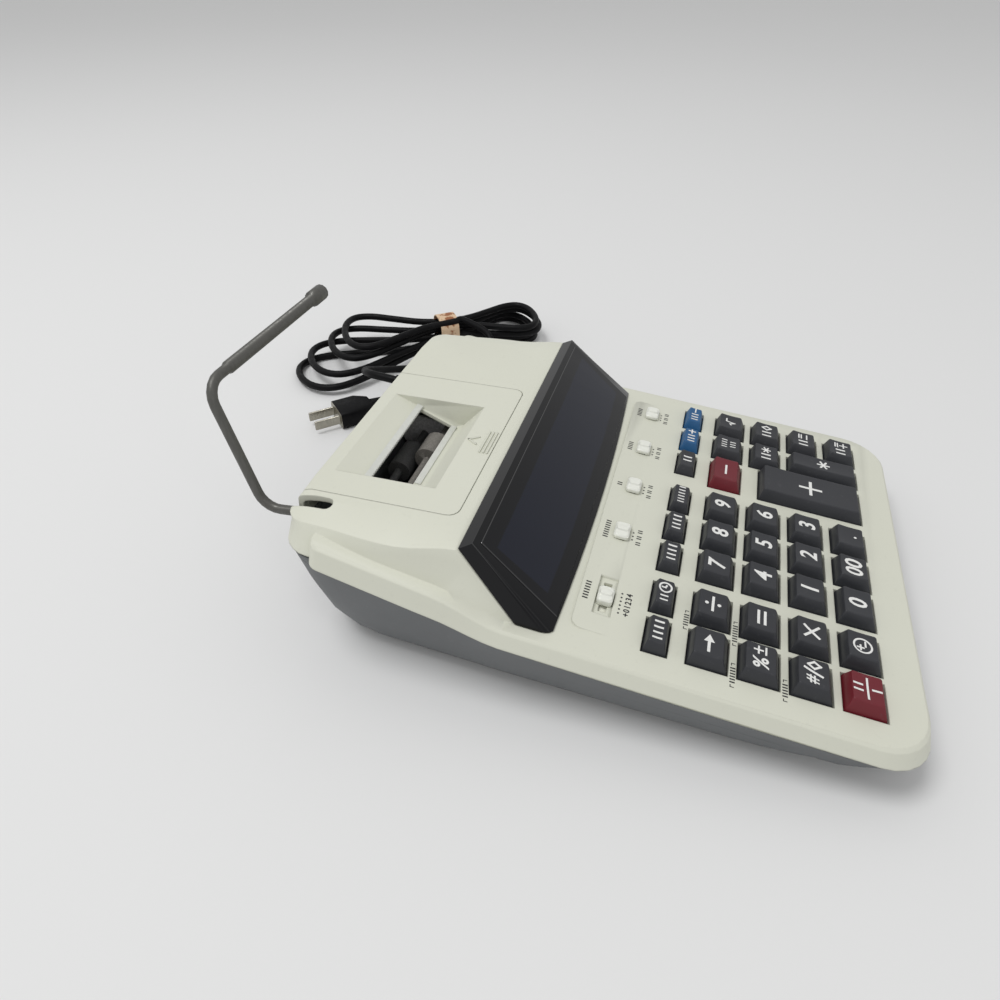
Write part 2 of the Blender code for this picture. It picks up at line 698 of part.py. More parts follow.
def rear_wall(z):
    """Where the lower case's rear face lies at a height, along its straight stretch."""
    high = seam_height(CASE_REAR) - GAP
    drop = (high - z) / (high - base_height(BASE_REAR))
    place = 0.0
    for (share, above), (next_share, below) in zip(SIDE_SHARES, SIDE_SHARES[1:]):
        if above <= drop <= below:
            place = share + (next_share - share) * (drop - above) / (below - above)
    return CASE_REAR + (BASE_REAR - CASE_REAR) * place


def panel_height(y):
    return -PANEL_SINK + (PANEL_RISE + PANEL_SINK) * (y - PANEL_FRONT) / (PANEL_REAR - PANEL_FRONT)


def side_stations():
    """Places along the straight sides, closer together where the flange climbs."""
    front = -CASE_FRONT + FLANGE_FRONT_RADIUS + OVERRUN
    rear = FLANGE_REAR - FLANGE_REAR_RADIUS - OVERRUN
    climb = spaced(FLANGE_CLIMB_START, rear, CLIMB_STATIONS)
    return spaced(front, CHIN_START, FRONT_STATIONS) + climb


def half_outline(half_front, half_rear, front, rear, front_radius, rear_radius, stations):
    """The right half of a rounded outline, front to rear, with stations along the side."""
    points = []
    steps = 6
    for index in range(steps + 1):
        angle = 0.5 * pi * index / steps
        x = half_front - front_radius + front_radius * sin(angle)
        y = front + front_radius - front_radius * cos(angle)
        points.append((x, y))
    for y in stations:
        share = (y - front) / (rear - front)
        points.append((half_front + (half_rear - half_front) * share, y))
    for index in range(steps + 1):
        angle = 0.5 * pi * index / steps
        x = half_rear - rear_radius + rear_radius * cos(angle)
        y = rear - rear_radius + rear_radius * sin(angle)
        points.append((x, y))
    return points


def flange_levels(inset, floor):
    """The deck and flange as levels, moved inward by inset; the floor is None at the seam."""
    half = 0.5 * CASE_WIDTH - inset
    front = -CASE_FRONT + inset
    rear = FLANGE_REAR - inset
    stations = side_stations()
    levels = []
    low_corner = FLANGE_FRONT_RADIUS - inset
    rear_corner = FLANGE_REAR_RADIUS - inset
    outline = tapered(half_outline(half, half, front, rear, low_corner, rear_corner, stations))
    levels.append([(x, y, seam_height(y) if floor is None else floor) for x, y in outline])
    for edge, drop in ((FLANGE_DRAFT, FLANGE_EDGE), (FLANGE_DRAFT + FLANGE_EDGE, 0.0)):
        outline = half_outline(
            half - edge, half - edge, front + edge, rear, low_corner, rear_corner, stations
        )
        levels.append([(x, y, flange_height(y) - inset - drop) for x, y in tapered(outline)])
    return levels


def housing_levels(inset, floor):
    """The printer housing as levels, moved inward by inset: foot, waist, shoulder and crown. The
    crown falls away to the shoulder at the sides, but not where it meets the bezel. Where floor
    is None, the foot follows the flange."""
    start = HOUSING_TOP_FRONT + OVERRUN
    stations = spaced(start, CASE_REAR - HOUSING_CORNER_RADIUS - OVERRUN, HOUSING_STATIONS)
    lean = (HOUSING_TOP_FRONT - HOUSING_WALL_FOOT) / HOUSING_HEIGHT
    slant = hypot(lean, 1.0)
    low_half = HOUSING_HALF_WIDTH - WAIST_FRONT_SET_IN
    low_height = WAIST_FRONT_HEIGHT
    levels = []

    def outline(half, height, step, corner=HOUSING_CORNER_RADIUS):
        front = HOUSING_WALL_FOOT + lean * height + inset * slant + step
        rear = CASE_REAR - inset - step
        radius = corner - inset
        return half_outline(half, half, front, rear, HOUSING_FRONT_RADIUS, radius, stations)

    def rear_share(y):
        return smooth_step((y - REAR_DRAW_START) / REAR_DRAW_LENGTH)

    foot = outline(HOUSING_HALF_WIDTH - inset, -FOOT_SINK if floor is None else floor, 0.0)
    levels.append([(x, y, foot_height(y) if floor is None else floor) for x, y in foot])
    waist = []
    for x, y in outline(low_half - inset, low_height - inset, 0.0):
        share = smooth_step((y - HOUSING_TOP_FRONT) / HOUSING_WAIST_LENGTH)
        gain = (WAIST_FRONT_SET_IN - WAIST_REAR_SET_IN) * share - WAIST_REAR_DRAW * rear_share(y)
        height = low_height + (WAIST_REAR_HEIGHT - low_height) * share
        waist.append((x * (1 + gain / low_half), y, height - inset))
    levels.append(waist)
    shoulder = []
    plan = outline(HOUSING_SHOULDER - inset, HOUSING_HEIGHT - inset, 0.0, SHOULDER_CORNER_RADIUS)
    for x, y in plan:
        fall = HOUSING_CROWN * smooth_step((y - HOUSING_TOP_FRONT) / HOUSING_CROWN_LENGTH)
        gain = SHOULDER_SWELL * smooth_step((y - HOUSING_TOP_FRONT) / SHOULDER_SWELL_LENGTH)
        gain -= SHOULDER_REAR_DRAW * rear_share(y)
        shoulder.append((x * (1 + gain / HOUSING_SHOULDER), y, housing_top(y) - fall - inset))
    levels.append(shoulder)
    half = HOUSING_SHOULDER - inset - HOUSING_CROWN_WIDTH
    crown = outline(half, HOUSING_HEIGHT - inset, HOUSING_CROWN_STEP)
    levels.append([(x, y, housing_top(y) - inset) for x, y in crown])
    return levels


def cover_region(clearance):
    """The space that the printer cover takes out of the housing, grown by clearance."""
    outline = rounded_rectangle(
        COVER_LEFT - clearance,
        COVER_FRONT - clearance,
        COVER_RIGHT + clearance,
        CASE_REAR + OVERRUN + COVER_CORNER,
        COVER_CORNER,
        4,
    )
    return solid_upright(outline, COVER_SKIRT - clearance, HOUSING_HEIGHT + OVERRUN)


def flange_solid(inset, floor):
    """The deck with its flange, which climbs only beside the bezel and the housing."""
    body = solid_from_half_levels(flange_levels(inset, floor))
    cut_rear = HOUSING_WALL_FOOT + CLIMB_CUT_REAR_STEP
    cut_front = cut_rear - CLIMB_CUT_LENGTH
    rings = []
    for z in (-inset, HOUSING_HEIGHT):
        half = housing_half_width(z) - FLANGE_OVERLAP + inset
        front = [(-half, cut_front, z), (half, cut_front, z)]
        rear = [(half, cut_rear, z), (-half, cut_rear, z)]
        rings.append(front + rear)
    return combine(body, solid_from_rings(rings), "DIFFERENCE")


def housing_shell():
    outer = flange_solid(0.0, None)
    outer = combine(outer, solid_from_half_levels(housing_levels(0.0, None)), "UNION")
    panel = [
        (PANEL_FRONT, panel_height(PANEL_FRONT)),
        (PANEL_FRONT, -WALL),
        (PANEL_REAR, -WALL),
        (PANEL_REAR, PANEL_RISE),
    ]
    outline = rounded_rectangle(
        -PANEL_HALF_WIDTH, PANEL_FRONT - OVERRUN, PANEL_HALF_WIDTH, PANEL_REAR, PANEL_CORNER, 3
    )
    raised = solid_upright(outline, -WALL, PANEL_RISE + OVERRUN)
    raised = combine(raised, solid_across(panel, -CASE_WIDTH, CASE_WIDTH), "INTERSECT")
    outer = combine(outer, raised, "UNION")
    floor = -SEAM_DROP - OVERRUN
    inner = flange_solid(WALL, floor)
    inner = combine(inner, solid_from_half_levels(housing_levels(WALL, floor)), "UNION")
    return combine(outer, inner, "DIFFERENCE")


# The keyboard


def key_columns():
    """Left edges of the eight columns of keys."""
    first = [KEYS_LEFT, KEYS_LEFT + KEY_PITCH]
    number = KEYS_LEFT + 2 * KEY_PITCH + NUMBER_GROUP_GAP
    numbers = [number + index * KEY_PITCH for index in range(3)]
    sign = numbers[-1] + KEY_PITCH + SIGN_GROUP_GAP
    memory = sign + KEY_WIDTH + WIDE_KEY_EXTRA + KEY_SPACE
    return first + numbers + [sign, memory, memory + MEMORY_PITCH]


def key_table():
    """Every key as name: left, rear, width, depth, finish name."""
    columns = key_columns()
    rows = [-index * ROW_PITCH for index in range(4)]
    keys = {}

    def place(name, column, row, finish="dark", width=KEY_WIDTH, left_extra=0.0):
        left = columns[column] - left_extra
        keys[name] = (left, rows[row], width + left_extra, KEY_DEPTH, finish)

    for row, names in enumerate(
        (
            ("key_backspace", "key_divide", "key_7", "key_8", "key_9"),
            ("key_percent", "key_equals", "key_4", "key_5", "key_6"),
            ("key_subtotal", "key_multiply", "key_1", "key_2", "key_3"),
        )
    ):
        for column, name in enumerate(names):
            place(name, column, row)
    place("key_clear", 0, 3, "red")
    place("key_sign_change", 1, 3)
    place("key_0", 2, 3, left_extra=ZERO_EXTRA)
    place("key_00", 3, 3)
    place("key_decimal_point", 4, 3)
    place("key_minus", 5, 0, "red", KEY_WIDTH + WIDE_KEY_EXTRA)
    place("key_time_calculation", 6, 0)
    place("key_square_root", 7, 0)
    place("key_memory_total", 6, 1)
    place("key_memory_subtotal", 7, 1)
    place("key_memory_minus", 7, 2)
    place("key_memory_plus", 7, 3)
    front = rows[3] - KEY_DEPTH
    plus_rear = rows[1] - PLUS_REAR_STEP
    keys["key_plus"] = (columns[5], plus_rear, PLUS_WIDTH, plus_rear - front, "dark")
    total_left = columns[5] + PLUS_WIDTH + KEY_SPACE
    total_width = columns[6] + KEY_WIDTH - total_left
    keys["key_total"] = (total_left, rows[2], total_width, rows[2] - front, "dark")
    sign_right = columns[5] + WIDE_KEY_EXTRA
    small = (
        ("key_paper_feed", columns[0], "dark"),
        ("key_clock", columns[1], "dark"),
        ("key_cost", columns[2], "dark"),
        ("key_sell", columns[3], "dark"),
        ("key_margin", columns[4], "dark"),
        ("key_grand_total", sign_right, "dark"),
        ("key_tax_plus", columns[6], "blue"),
        ("key_tax_minus", columns[7], "blue"),
    )
    for name, left, finish in small:
        keys[name] = (left, SMALL_KEY_REAR, KEY_WIDTH, SMALL_KEY_DEPTH, finish)
    return keys


def key_opening(left, rear, width, depth):
    spare = KEY_CLEARANCE
    low = (left - spare, rear - depth - spare, -WALL - OVERRUN)
    return solid_box(low, (left + width + spare, rear + spare, OVERRUN))


def key_body(left, rear, width, depth):
    """A cap with a skirt, lips under the deck in front and behind, and a square stem below."""
    small = depth == SMALL_KEY_DEPTH
    height = SMALL_KEY_HEIGHT if small else KEY_HEIGHT
    front_taper = SMALL_FRONT_TAPER if small else KEY_FRONT_TAPER
    right = left + width
    front = rear - depth
    middle_x = 0.5 * (left + right)
    middle_y = 0.5 * (front + rear)
    lip_top = -WALL - GAP
    lip_low = lip_top - KEY_LIP_THICKNESS
    stem_low = -BOARD_DEPTH + KEY_TRAVEL + GAP

    def ring(low_x, low_y, high_x, high_y, radius, z, rise=0.0):
        outline = rounded_rectangle(low_x, low_y, high_x, high_y, radius, 1)
        return [(x, y, z + rise * (rear - y) / depth) for x, y in outline]

    half = 0.5 * KEY_STEM
    top = (left + KEY_SIDE_TAPER, front + front_taper, right - KEY_SIDE_TAPER, rear - KEY_REAR_TAPER)
    crown = (top[0] + KEY_ROUNDING, top[1] + KEY_ROUNDING, top[2] - KEY_ROUNDING, top[3] - KEY_ROUNDING)
    stem = (middle_x - half, middle_y - half, middle_x + half, middle_y + half)
    lip = (left + GAP, front - KEY_LIP, right - GAP, rear + KEY_LIP)
    skirt = (left, front, right, rear)
    rings = [
        ring(*stem, KEY_CORNER, stem_low),
        ring(*stem, KEY_CORNER, lip_low),
        ring(*lip, KEY_CORNER, lip_low),
        ring(*lip, KEY_CORNER, lip_top),
        ring(*skirt, KEY_CORNER, lip_top),
        ring(*skirt, KEY_CORNER, KEY_SKIRT),
        ring(*top, KEY_TOP_CORNER, height - KEY_ROUNDING, KEY_TOP_RISE),
        ring(*crown, KEY_TOP_CORNER, height, KEY_TOP_RISE),
    ]
    body = solid_from_rings(rings)
    cap = max(body.faces, key=lambda face: face.calc_center_median().z)
    middle = bmesh.ops.poke(body, faces=[cap])["verts"][0]
    middle.co.z -= KEY_DISH
    return body


def add_keys(materials, deck):
    for name, (left, rear, width, depth, finish) in key_table().items():
        origin = (left + 0.5 * width, rear - 0.5 * depth, 0.0)
        material = materials["key_" + finish]
        object_from(name, key_body(left, rear, width, depth), material, deck, origin)


# The slide switches


def switch_table():
    """Every switch as name: x, travel left, travel right, knob width, knob depth, sink."""
    half = PANEL_HALF_WIDTH
    step = SWITCH_TRAVEL
    plain = (KNOB_WIDTH, KNOB_DEPTH, 0.0)
    return {
        "switch_decimal": (
            DECIMAL_SHARE * half,
            DECIMAL_LEFT,
            DECIMAL_RIGHT,
            DECIMAL_KNOB_WIDTH,
            DECIMAL_KNOB_DEPTH,
            DECIMAL_POCKET_DEPTH,
        ),
        "switch_rounding": (ROUNDING_SHARE * half, step, step, *plain),
        "switch_grand_total": (TOTAL_SHARE * half, step, step, *plain),
        "switch_print": (PRINT_SHARE * half, step, step, *plain),
        "switch_power": (POWER_SHARE * half, 0.0, 2 * step, *plain),
    }


def switch_slot(x, left, right, width, depth, sink):
    """The slot that a switch's stem runs in and, where the knob is sunk, its pocket."""
    spare = SLOT_CLEARANCE
    half_x = 0.5 * KNOB_STEM_WIDTH + spare
    half_y = 0.5 * KNOB_STEM_DEPTH + spare
    low = (x - left - half_x, SWITCH_Y - half_y, -WALL - OVERRUN)
    slot = solid_box(low, (x + right + half_x, SWITCH_Y + half_y, OVERRUN))
    if not sink:
        return slot
    reach_x = 0.5 * width + DECIMAL_POCKET_MARGIN
    reach_y = 0.5 * depth + DECIMAL_POCKET_MARGIN
    low = (x - left - reach_x, SWITCH_Y - reach_y, panel_height(SWITCH_Y - reach_y) - sink)
    pocket = solid_box(low, (x + right + reach_x, SWITCH_Y + reach_y, OVERRUN))
    return combine(slot, pocket, "UNION")


def knob_body(x, left, right, width, depth, sink):
    """A ridged cap on a stem. The sunk knob's stem ends in a shutter that covers its slot."""
    low_edge = SWITCH_Y - 0.5 * depth
    high_edge = SWITCH_Y + 0.5 * depth
    seat = panel_height(low_edge - DECIMAL_POCKET_MARGIN) - sink if sink else panel_height(high_edge)
    foot = seat + GAP
    top = foot + sink + KNOB_HEIGHT
    if sink:
        cover = 2 * (SLOT_CLEARANCE + SHUTTER_MARGIN)
        shutter = (KNOB_STEM_WIDTH + cover + 2 * (left + right), KNOB_STEM_DEPTH + cover)
        roof = -WALL - GAP
        under = ((*shutter, roof - SHUTTER_THICKNESS), (*shutter, roof))
        stem_low = roof
    else:
        under = ()
        stem_low = foot - KNOB_STEM_LENGTH
    tier = (
        *under,
        (KNOB_STEM_WIDTH, KNOB_STEM_DEPTH, stem_low),
        (KNOB_STEM_WIDTH, KNOB_STEM_DEPTH, foot),
        (width, depth, foot),
        (width, depth, top - KNOB_ROUNDING),
        (width - 2 * KNOB_ROUNDING, depth - 2 * KNOB_ROUNDING, top),
        (KNOB_RIDGE_WIDTH + KNOB_ROUNDING, depth - 2 * KNOB_ROUNDING, top),
        (KNOB_RIDGE_WIDTH, depth - 3 * KNOB_ROUNDING, top + KNOB_RIDGE_HEIGHT),
    )
    rings = []
    for tier_width, tier_depth, z in tier:
        radius = min(KNOB_CORNER, KNOB_CORNER_SHARE * tier_width, KNOB_CORNER_SHARE * tier_depth)
        outline = rounded_rectangle(
            x - 0.5 * tier_width,
            SWITCH_Y - 0.5 * tier_depth,
            x + 0.5 * tier_width,
            SWITCH_Y + 0.5 * tier_depth,
            radius,
            2,
        )
        rings.append([(px, py, z) for px, py in outline])
    return solid_from_rings(rings)


def add_switches(materials, deck):
    for name, (x, left, right, width, depth, sink) in switch_table().items():
        origin = (x, SWITCH_Y, panel_height(SWITCH_Y))
        body = knob_body(x, left, right, width, depth, sink)
        shade_round(object_from(name, body, materials["knob"], deck, origin))


# The housing pieces


def arm_slot():
    """The open-ended slot that lets the wire arm swing from the rear over the top."""
    half = 0.5 * ARM_SLOT_WIDTH
    floor = ARM_PIVOT_Z - 0.5 * ARM_WIRE - KEY_CLEARANCE
    rear = CASE_REAR + OVERRUN
    rise = (ARM_KNEE_Z - ARM_PIVOT_Z) / (ARM_KNEE_Y - ARM_PIVOT_Y)
    floor_rear = floor + rise * (rear - ARM_PIVOT_Y)
    profile = [
        (ARM_SLOT_FRONT + half, floor),
        (ARM_PIVOT_Y, floor),
        (rear, floor_rear),
        (rear, HOUSING_HEIGHT + OVERRUN),
        (ARM_SLOT_FRONT + half, HOUSING_HEIGHT + OVERRUN),
    ]
    slot = solid_across(profile, ARM_X - half, ARM_X + half)
    stations = ((floor, half), (HOUSING_HEIGHT + OVERRUN, half))
    nose = turned_upright(stations, 12, ARM_X, ARM_SLOT_FRONT + half)
    return combine(slot, nose, "UNION")


def arm_lug():
    """The ear under the housing's top that carries the arm's axle."""
    low = (ARM_X - ARM_AXLE, ARM_PIVOT_Y - 0.5 * LUG_LENGTH, ARM_PIVOT_Z - LUG_DROP)
    high = (
        ARM_X - ARM_AXLE + LUG_THICKNESS,
        ARM_PIVOT_Y + 0.5 * LUG_LENGTH,
        housing_top(ARM_PIVOT_Y) - HOUSING_CROWN - 0.5 * WALL,
    )
    return solid_box(low, high)


def arm_axle_hole():
    radius = 0.5 * ARM_WIRE + BEARING_CLEARANCE
    stations = ((ARM_X - ARM_AXLE - GAP, radius), (ARM_X - 0.5 * ARM_SLOT_WIDTH, radius))
    return turned_across(stations, 16, ARM_PIVOT_Y, ARM_PIVOT_Z)


def add_upper_case(materials, deck, shell):
    body = combine(shell, cover_region(0.5 * GAP), "DIFFERENCE")
    body = combine(body, arm_lug(), "UNION")
    openings = [key_opening(*place[:4]) for place in key_table().values()]
    openings += [switch_slot(*place) for place in switch_table().values()]
    body = combine(body, joined(openings), "DIFFERENCE")
    paper_low = (TROUGH_LEFT, CASE_REAR - WALL - OVERRUN, PAPER_SLOT_LOW)
    paper_slot = solid_box(paper_low, (TROUGH_RIGHT, CASE_REAR + OVERRUN, COVER_SKIRT))
    body = combine(body, paper_slot, "DIFFERENCE")
    body = combine(body, arm_slot(), "DIFFERENCE")
    body = combine(body, arm_axle_hole(), "DIFFERENCE")
    shade_round(object_from("upper_case", body, materials["ivory"], deck))


def trough_profile():
    """The paper trough in the cover, closed above the top surface, anticlockwise."""
    rim = HOUSING_HEIGHT + OVERRUN
    front_top = housing_top(TROUGH_FRONT)
    rear_top = housing_top(TROUGH_REAR)
    front_lean = (LIP_HEIGHT - front_top) / (LIP_FRONT - TROUGH_FRONT)
    rear_lean = (rear_top - SHELF_HEIGHT) / (TROUGH_REAR - SHELF_REAR)
    return [
        (TROUGH_FRONT + (rim - front_top) / front_lean, rim),
        (LIP_FRONT, LIP_HEIGHT),
        (WINDOW_FRONT, WINDOW_FRONT_HEIGHT),
        (WINDOW_REAR, WINDOW_REAR_HEIGHT),
        (SHELF_REAR, SHELF_HEIGHT),
        (TROUGH_REAR + (rim - rear_top) / rear_lean, rim),
    ]


def add_printer_cover(materials, deck, shell):
    body = combine(shell, cover_region(-0.5 * GAP), "INTERSECT")
    trough = trough_profile()
    skin = offset_profile(trough, TROUGH_WALL)
    left = TROUGH_LEFT - TROUGH_WALL
    right = TROUGH_RIGHT + TROUGH_WALL
    mass = solid_across(skin, left, right)
    under = [
        (COVER_FRONT, -HOUSING_HEIGHT),
        (CASE_REAR, -HOUSING_HEIGHT),
        (CASE_REAR, housing_top(CASE_REAR) - 0.5 * WALL),
        (COVER_FRONT, housing_top(COVER_FRONT) - 0.5 * WALL),
    ]
    mass = combine(mass, solid_across(under, left - OVERRUN, right + OVERRUN), "INTERSECT")
    rear_limit = solid_box(
        (left - OVERRUN, COVER_FRONT, -HOUSING_HEIGHT),
        (right + OVERRUN, CASE_REAR - 0.5 * WALL, HOUSING_HEIGHT + OVERRUN),
    )
    mass = combine(mass, rear_limit, "INTERSECT")
    body = combine(body, mass, "UNION")
    body = combine(body, solid_across(trough, TROUGH_LEFT, TROUGH_RIGHT), "DIFFERENCE")
    window = solid_box(
        (TROUGH_LEFT + WINDOW_MARGIN, WINDOW_FRONT, WINDOW_FRONT_HEIGHT - OVERRUN),
        (TROUGH_RIGHT - WINDOW_MARGIN, WINDOW_REAR, WINDOW_REAR_HEIGHT + OVERRUN),
    )
    body = combine(body, window, "DIFFERENCE")
    ledge_low = WINDOW_FRONT_HEIGHT - 0.5 * LEDGE_THICKNESS
    ledge = solid_box(
        (TROUGH_LEFT + LEDGE_MARGIN, LIP_FRONT, ledge_low),
        (TROUGH_RIGHT - LEDGE_MARGIN, WINDOW_FRONT + LEDGE_REACH, ledge_low + LEDGE_THICKNESS),
    )
    body = combine(body, ledge, "UNION")
    shade_round(object_from("printer_cover", body, materials["ivory"], deck))


def add_tear_bar(materials, deck):
    """A thin strip with a toothed front edge, lying on the shelf behind the paper window."""
    lean = (SHELF_HEIGHT - WINDOW_REAR_HEIGHT) / (SHELF_REAR - WINDOW_REAR)
    left = TROUGH_LEFT + GAP
    right = TROUGH_RIGHT - GAP
    front = WINDOW_REAR - TEAR_BAR_REACH
    rear = front + TEAR_BAR_WIDTH
    teeth = int((right - left) / TEAR_TOOTH_PITCH)
    pitch = (right - left) / teeth
    outline = [(right, rear), (left, rear)]
    for index in range(teeth):
        start = left + index * pitch
        outline.append((start, front + TEAR_TOOTH_DEPTH))
        outline.append((start + 0.5 * pitch, front))
    outline.append((right, front + TEAR_TOOTH_DEPTH))
    rings = []
    for lift in (GAP, GAP + TEAR_BAR_THICKNESS):
        rings.append([(x, y, WINDOW_REAR_HEIGHT + lift + lean * (y - WINDOW_REAR)) for x, y in outline])
    object_from("tear_bar", solid_from_rings(rings), materials["clear"], deck)


def lower_levels(inset):
    """The lower case's outer or inner surface as levels from the base up to the rim."""
    half = 0.5 * CASE_WIDTH - LOWER_RIM_INSET - inset
    front = -CASE_FRONT + LOWER_RIM_INSET + inset
    rear = CASE_REAR - inset
    stations = side_stations()
    base_start = -BASE_FRONT + BASE_FRONT_RADIUS
    base_length = BASE_REAR - BASE_REAR_RADIUS - base_start
    base_stretch = base_length / (stations[-1] - stations[0] + 2 * OVERRUN)
    rim = half_outline(
        half, half, front, rear, LOWER_FRONT_RADIUS - inset, LOWER_REAR_RADIUS - inset, stations
    )
    base = half_outline(
        BASE_HALF_FRONT - inset,
        BASE_HALF_REAR - inset,
        -BASE_FRONT + inset,
        BASE_REAR - inset,
        BASE_FRONT_RADIUS - inset,
        BASE_REAR_RADIUS - inset,
        [base_start + (y - stations[0] + OVERRUN) * base_stretch for y in stations],
    )
    levels = []
    for plan_share, drop_share in SIDE_SHARES:
        level = []
        for (rim_x, rim_y), (base_x, base_y) in zip(tapered(rim), base):
            high = seam_height(rim_y) - GAP + (OVERRUN if inset else 0.0)
            low = base_height(base_y) + inset
            x = rim_x + (base_x - rim_x) * plan_share
            y = rim_y + (base_y - rim_y) * plan_share
            level.append((x, y, high + (low - high) * drop_share))
        levels.append(level)
    levels.reverse()
    return levels


def post(x, y, top, radius=POST_RADIUS, sides=POST_SIDES):
    """A post that stands on the lower case's floor and ends a gap below what it carries."""
    return turned_upright(((base_height(y) + 0.5 * WALL, radius), (top - GAP, radius)), sides, x, y)


def board_posts():
    top = -BOARD_DEPTH - BOARD_THICKNESS
    inset = BOARD_HALF_WIDTH - BOARD_CORNER
    front = -BOARD_FRONT + 2 * BOARD_CORNER
    rear = BOARD_REAR - BOARD_CORNER
    places = [(side * inset, y) for side in (-1, 1) for y in (front, rear)]
    places += [(0.0, front), (0.0, rear)]
    return [post(x, y, top) for x, y in places]


def frame_posts():
    inset = 2 * POST_RADIUS
    places = []
    for x in (FRAME_LEFT + inset, FRAME_RIGHT - inset):
        for y in (FRAME_FRONT + inset, FRAME_REAR_FOOT - inset):
            places.append((x, y))
    return [post(x, y, FRAME_FLOOR) for x, y in places]


def transformer_posts():
    half = 0.5 * TRANSFORMER_WIDTH - POST_RADIUS
    return [post(TRANSFORMER_X + side * half, TRANSFORMER_Y, TRANSFORMER_BASE) for side in (-1, 1)]


def foot(x, y):
    """A round foot from the lower case's underside down to the table."""
    rings = []
    for shift in (0.0, None):
        ring = []
        for index in range(FOOT_SIDES):
            angle = 2 * pi * index / FOOT_SIDES
            px = x + FOOT_RADIUS * cos(angle)
            py = y + FOOT_RADIUS * sin(angle)
            z = table_height(py) if shift is None else base_height(py) + 0.5 * WALL
            ring.append((px, py, z))
        rings.append(ring)
    return solid_from_rings(rings)


def add_lower_case(materials, deck):
    body = solid_from_half_levels(lower_levels(0.0))
    body = combine(body, solid_from_half_levels(lower_levels(WALL)), "DIFFERENCE")
    for piece in board_posts() + frame_posts() + transformer_posts():
        body = combine(body, piece, "UNION")
    for side in (-1, 1):
        for y in (FOOT_FRONT, FOOT_REAR):
            body = combine(body, foot(side * FOOT_SPREAD, y), "UNION")
    neck = RELIEF_NECK + GAP
    stations = ((-OVERRUN - 2 * WALL, neck), (OVERRUN, neck))
    hole = turned_upright(stations, RELIEF_SIDES, 0.0, 0.0)
    turn = Matrix.Rotation(-0.5 * pi, 4, "X")
    bmesh.ops.transform(hole, matrix=turn, verts=hole.verts)
    bmesh.ops.translate(hole, verts=hole.verts, vec=(RELIEF_X, CASE_REAR, RELIEF_Z))
    body = combine(body, hole, "DIFFERENCE")
    shade_round(object_from("lower_case", body, materials["grey"], deck))


def add_display_bezel(materials, deck):
    """A hollow wedge: sloping face, a toe that bows forward, and corners that round off towards
    the toe."""
    lean = (HOUSING_TOP_FRONT - HOUSING_WALL_FOOT) / HOUSING_HEIGHT
    rear_top = (HOUSING_TOP_FRONT - GAP, housing_top(HOUSING_TOP_FRONT) + GAP)
    rear_foot = (HOUSING_WALL_FOOT - 2 * GAP - lean * GAP, GAP)
    ridge = (HOUSING_TOP_FRONT - BEZEL_RIDGE_BACK, HOUSING_HEIGHT + BEZEL_RIDGE_RISE)
    toe = (BEZEL_TOE, GAP)
    outside = [rear_foot, rear_top, ridge, (BEZEL_TOE, BEZEL_TOE_RISE + GAP), toe]

    def half_width(z):
        share = z / HOUSING_HEIGHT
        return BEZEL_FOOT_HALF_WIDTH + (BEZEL_TOP_HALF_WIDTH - BEZEL_FOOT_HALF_WIDTH) * share

    def section(share, profile, inset):
        """The profile at a share of the half width, with its lower front edge moved to the toe's
        bowed and round-cornered outline."""
        points = []
        for y, z in profile:
            if y < BEZEL_TOE + 2 * BEZEL_WALL + GAP:
                y += BEZEL_CORNER * corners.get(abs(share), 0.0) - BEZEL_BOW * (1 - share * share)
            points.append((share * (half_width(z) - inset), y, z))
        return points

    corners = dict(BEZEL_CORNER_SHARES)
    reach = BEZEL_CORNER_SHARES[0][0]
    shares = [-share for share in reversed(corners)]
    shares += spaced(-reach, reach, BEZEL_COLUMNS + 1)[1:-1] + list(corners)
    body = solid_from_rings([section(share, outside, 0.0) for share in shares])
    core = offset_profile([rear_foot, rear_top, ridge, toe], -BEZEL_WALL)
    core = [(y, z - OVERRUN if z < 2 * BEZEL_WALL else z) for y, z in core]
    hollow = solid_from_rings([section(share, core, BEZEL_WALL) for share in shares])
    body = combine(body, hollow, "DIFFERENCE")
    shade_round(object_from("display_bezel", body, materials["bezel"], deck), 20.0)


# The wire arm


def filleted(points, radii, steps):
    """A path through the points with each inner corner turned on its own radius."""
    path = [Vector(points[0])]
    for index in range(1, len(points) - 1):
        before = Vector(points[index - 1])
        here = Vector(points[index])
        after = Vector(points[index + 1])
        into = (before - here).normalized()
        onto = (after - here).normalized()
        half_angle = 0.5 * into.angle(onto)
        radius = radii[index - 1]
        reach = radius / tan(half_angle)
        centre = here + (into + onto).normalized() * (radius / sin(half_angle))
        start = here + into * reach - centre
        stop = here + onto * reach - centre
        sweep = start.angle(stop)
        for step in range(steps + 1):
            share = step / steps
            low = sin((1 - share) * sweep) / sin(sweep)
            high = sin(share * sweep) / sin(sweep)
            path.append(centre + start * low + stop * high)
    path.append(Vector(points[-1]))
    return path


def swept(path, radii, sides):
    """A round body along a path, with its own radius at each point."""
    rings = []
    normal = None
    for index, point in enumerate(path):
        before = path[max(index - 1, 0)]
        after = path[min(index + 1, len(path) - 1)]
        along = (after - before).normalized()
        if normal is None:
            normal = along.orthogonal().normalized()
        normal = (normal - along * normal.dot(along)).normalized()
        binormal = along.cross(normal)
        ring = []
        for side in range(sides):
            angle = 2 * pi * side / sides
            ring.append(point + radii[index] * (normal * cos(angle) + binormal * sin(angle)))
        rings.append(ring)
    return solid_from_rings(rings)


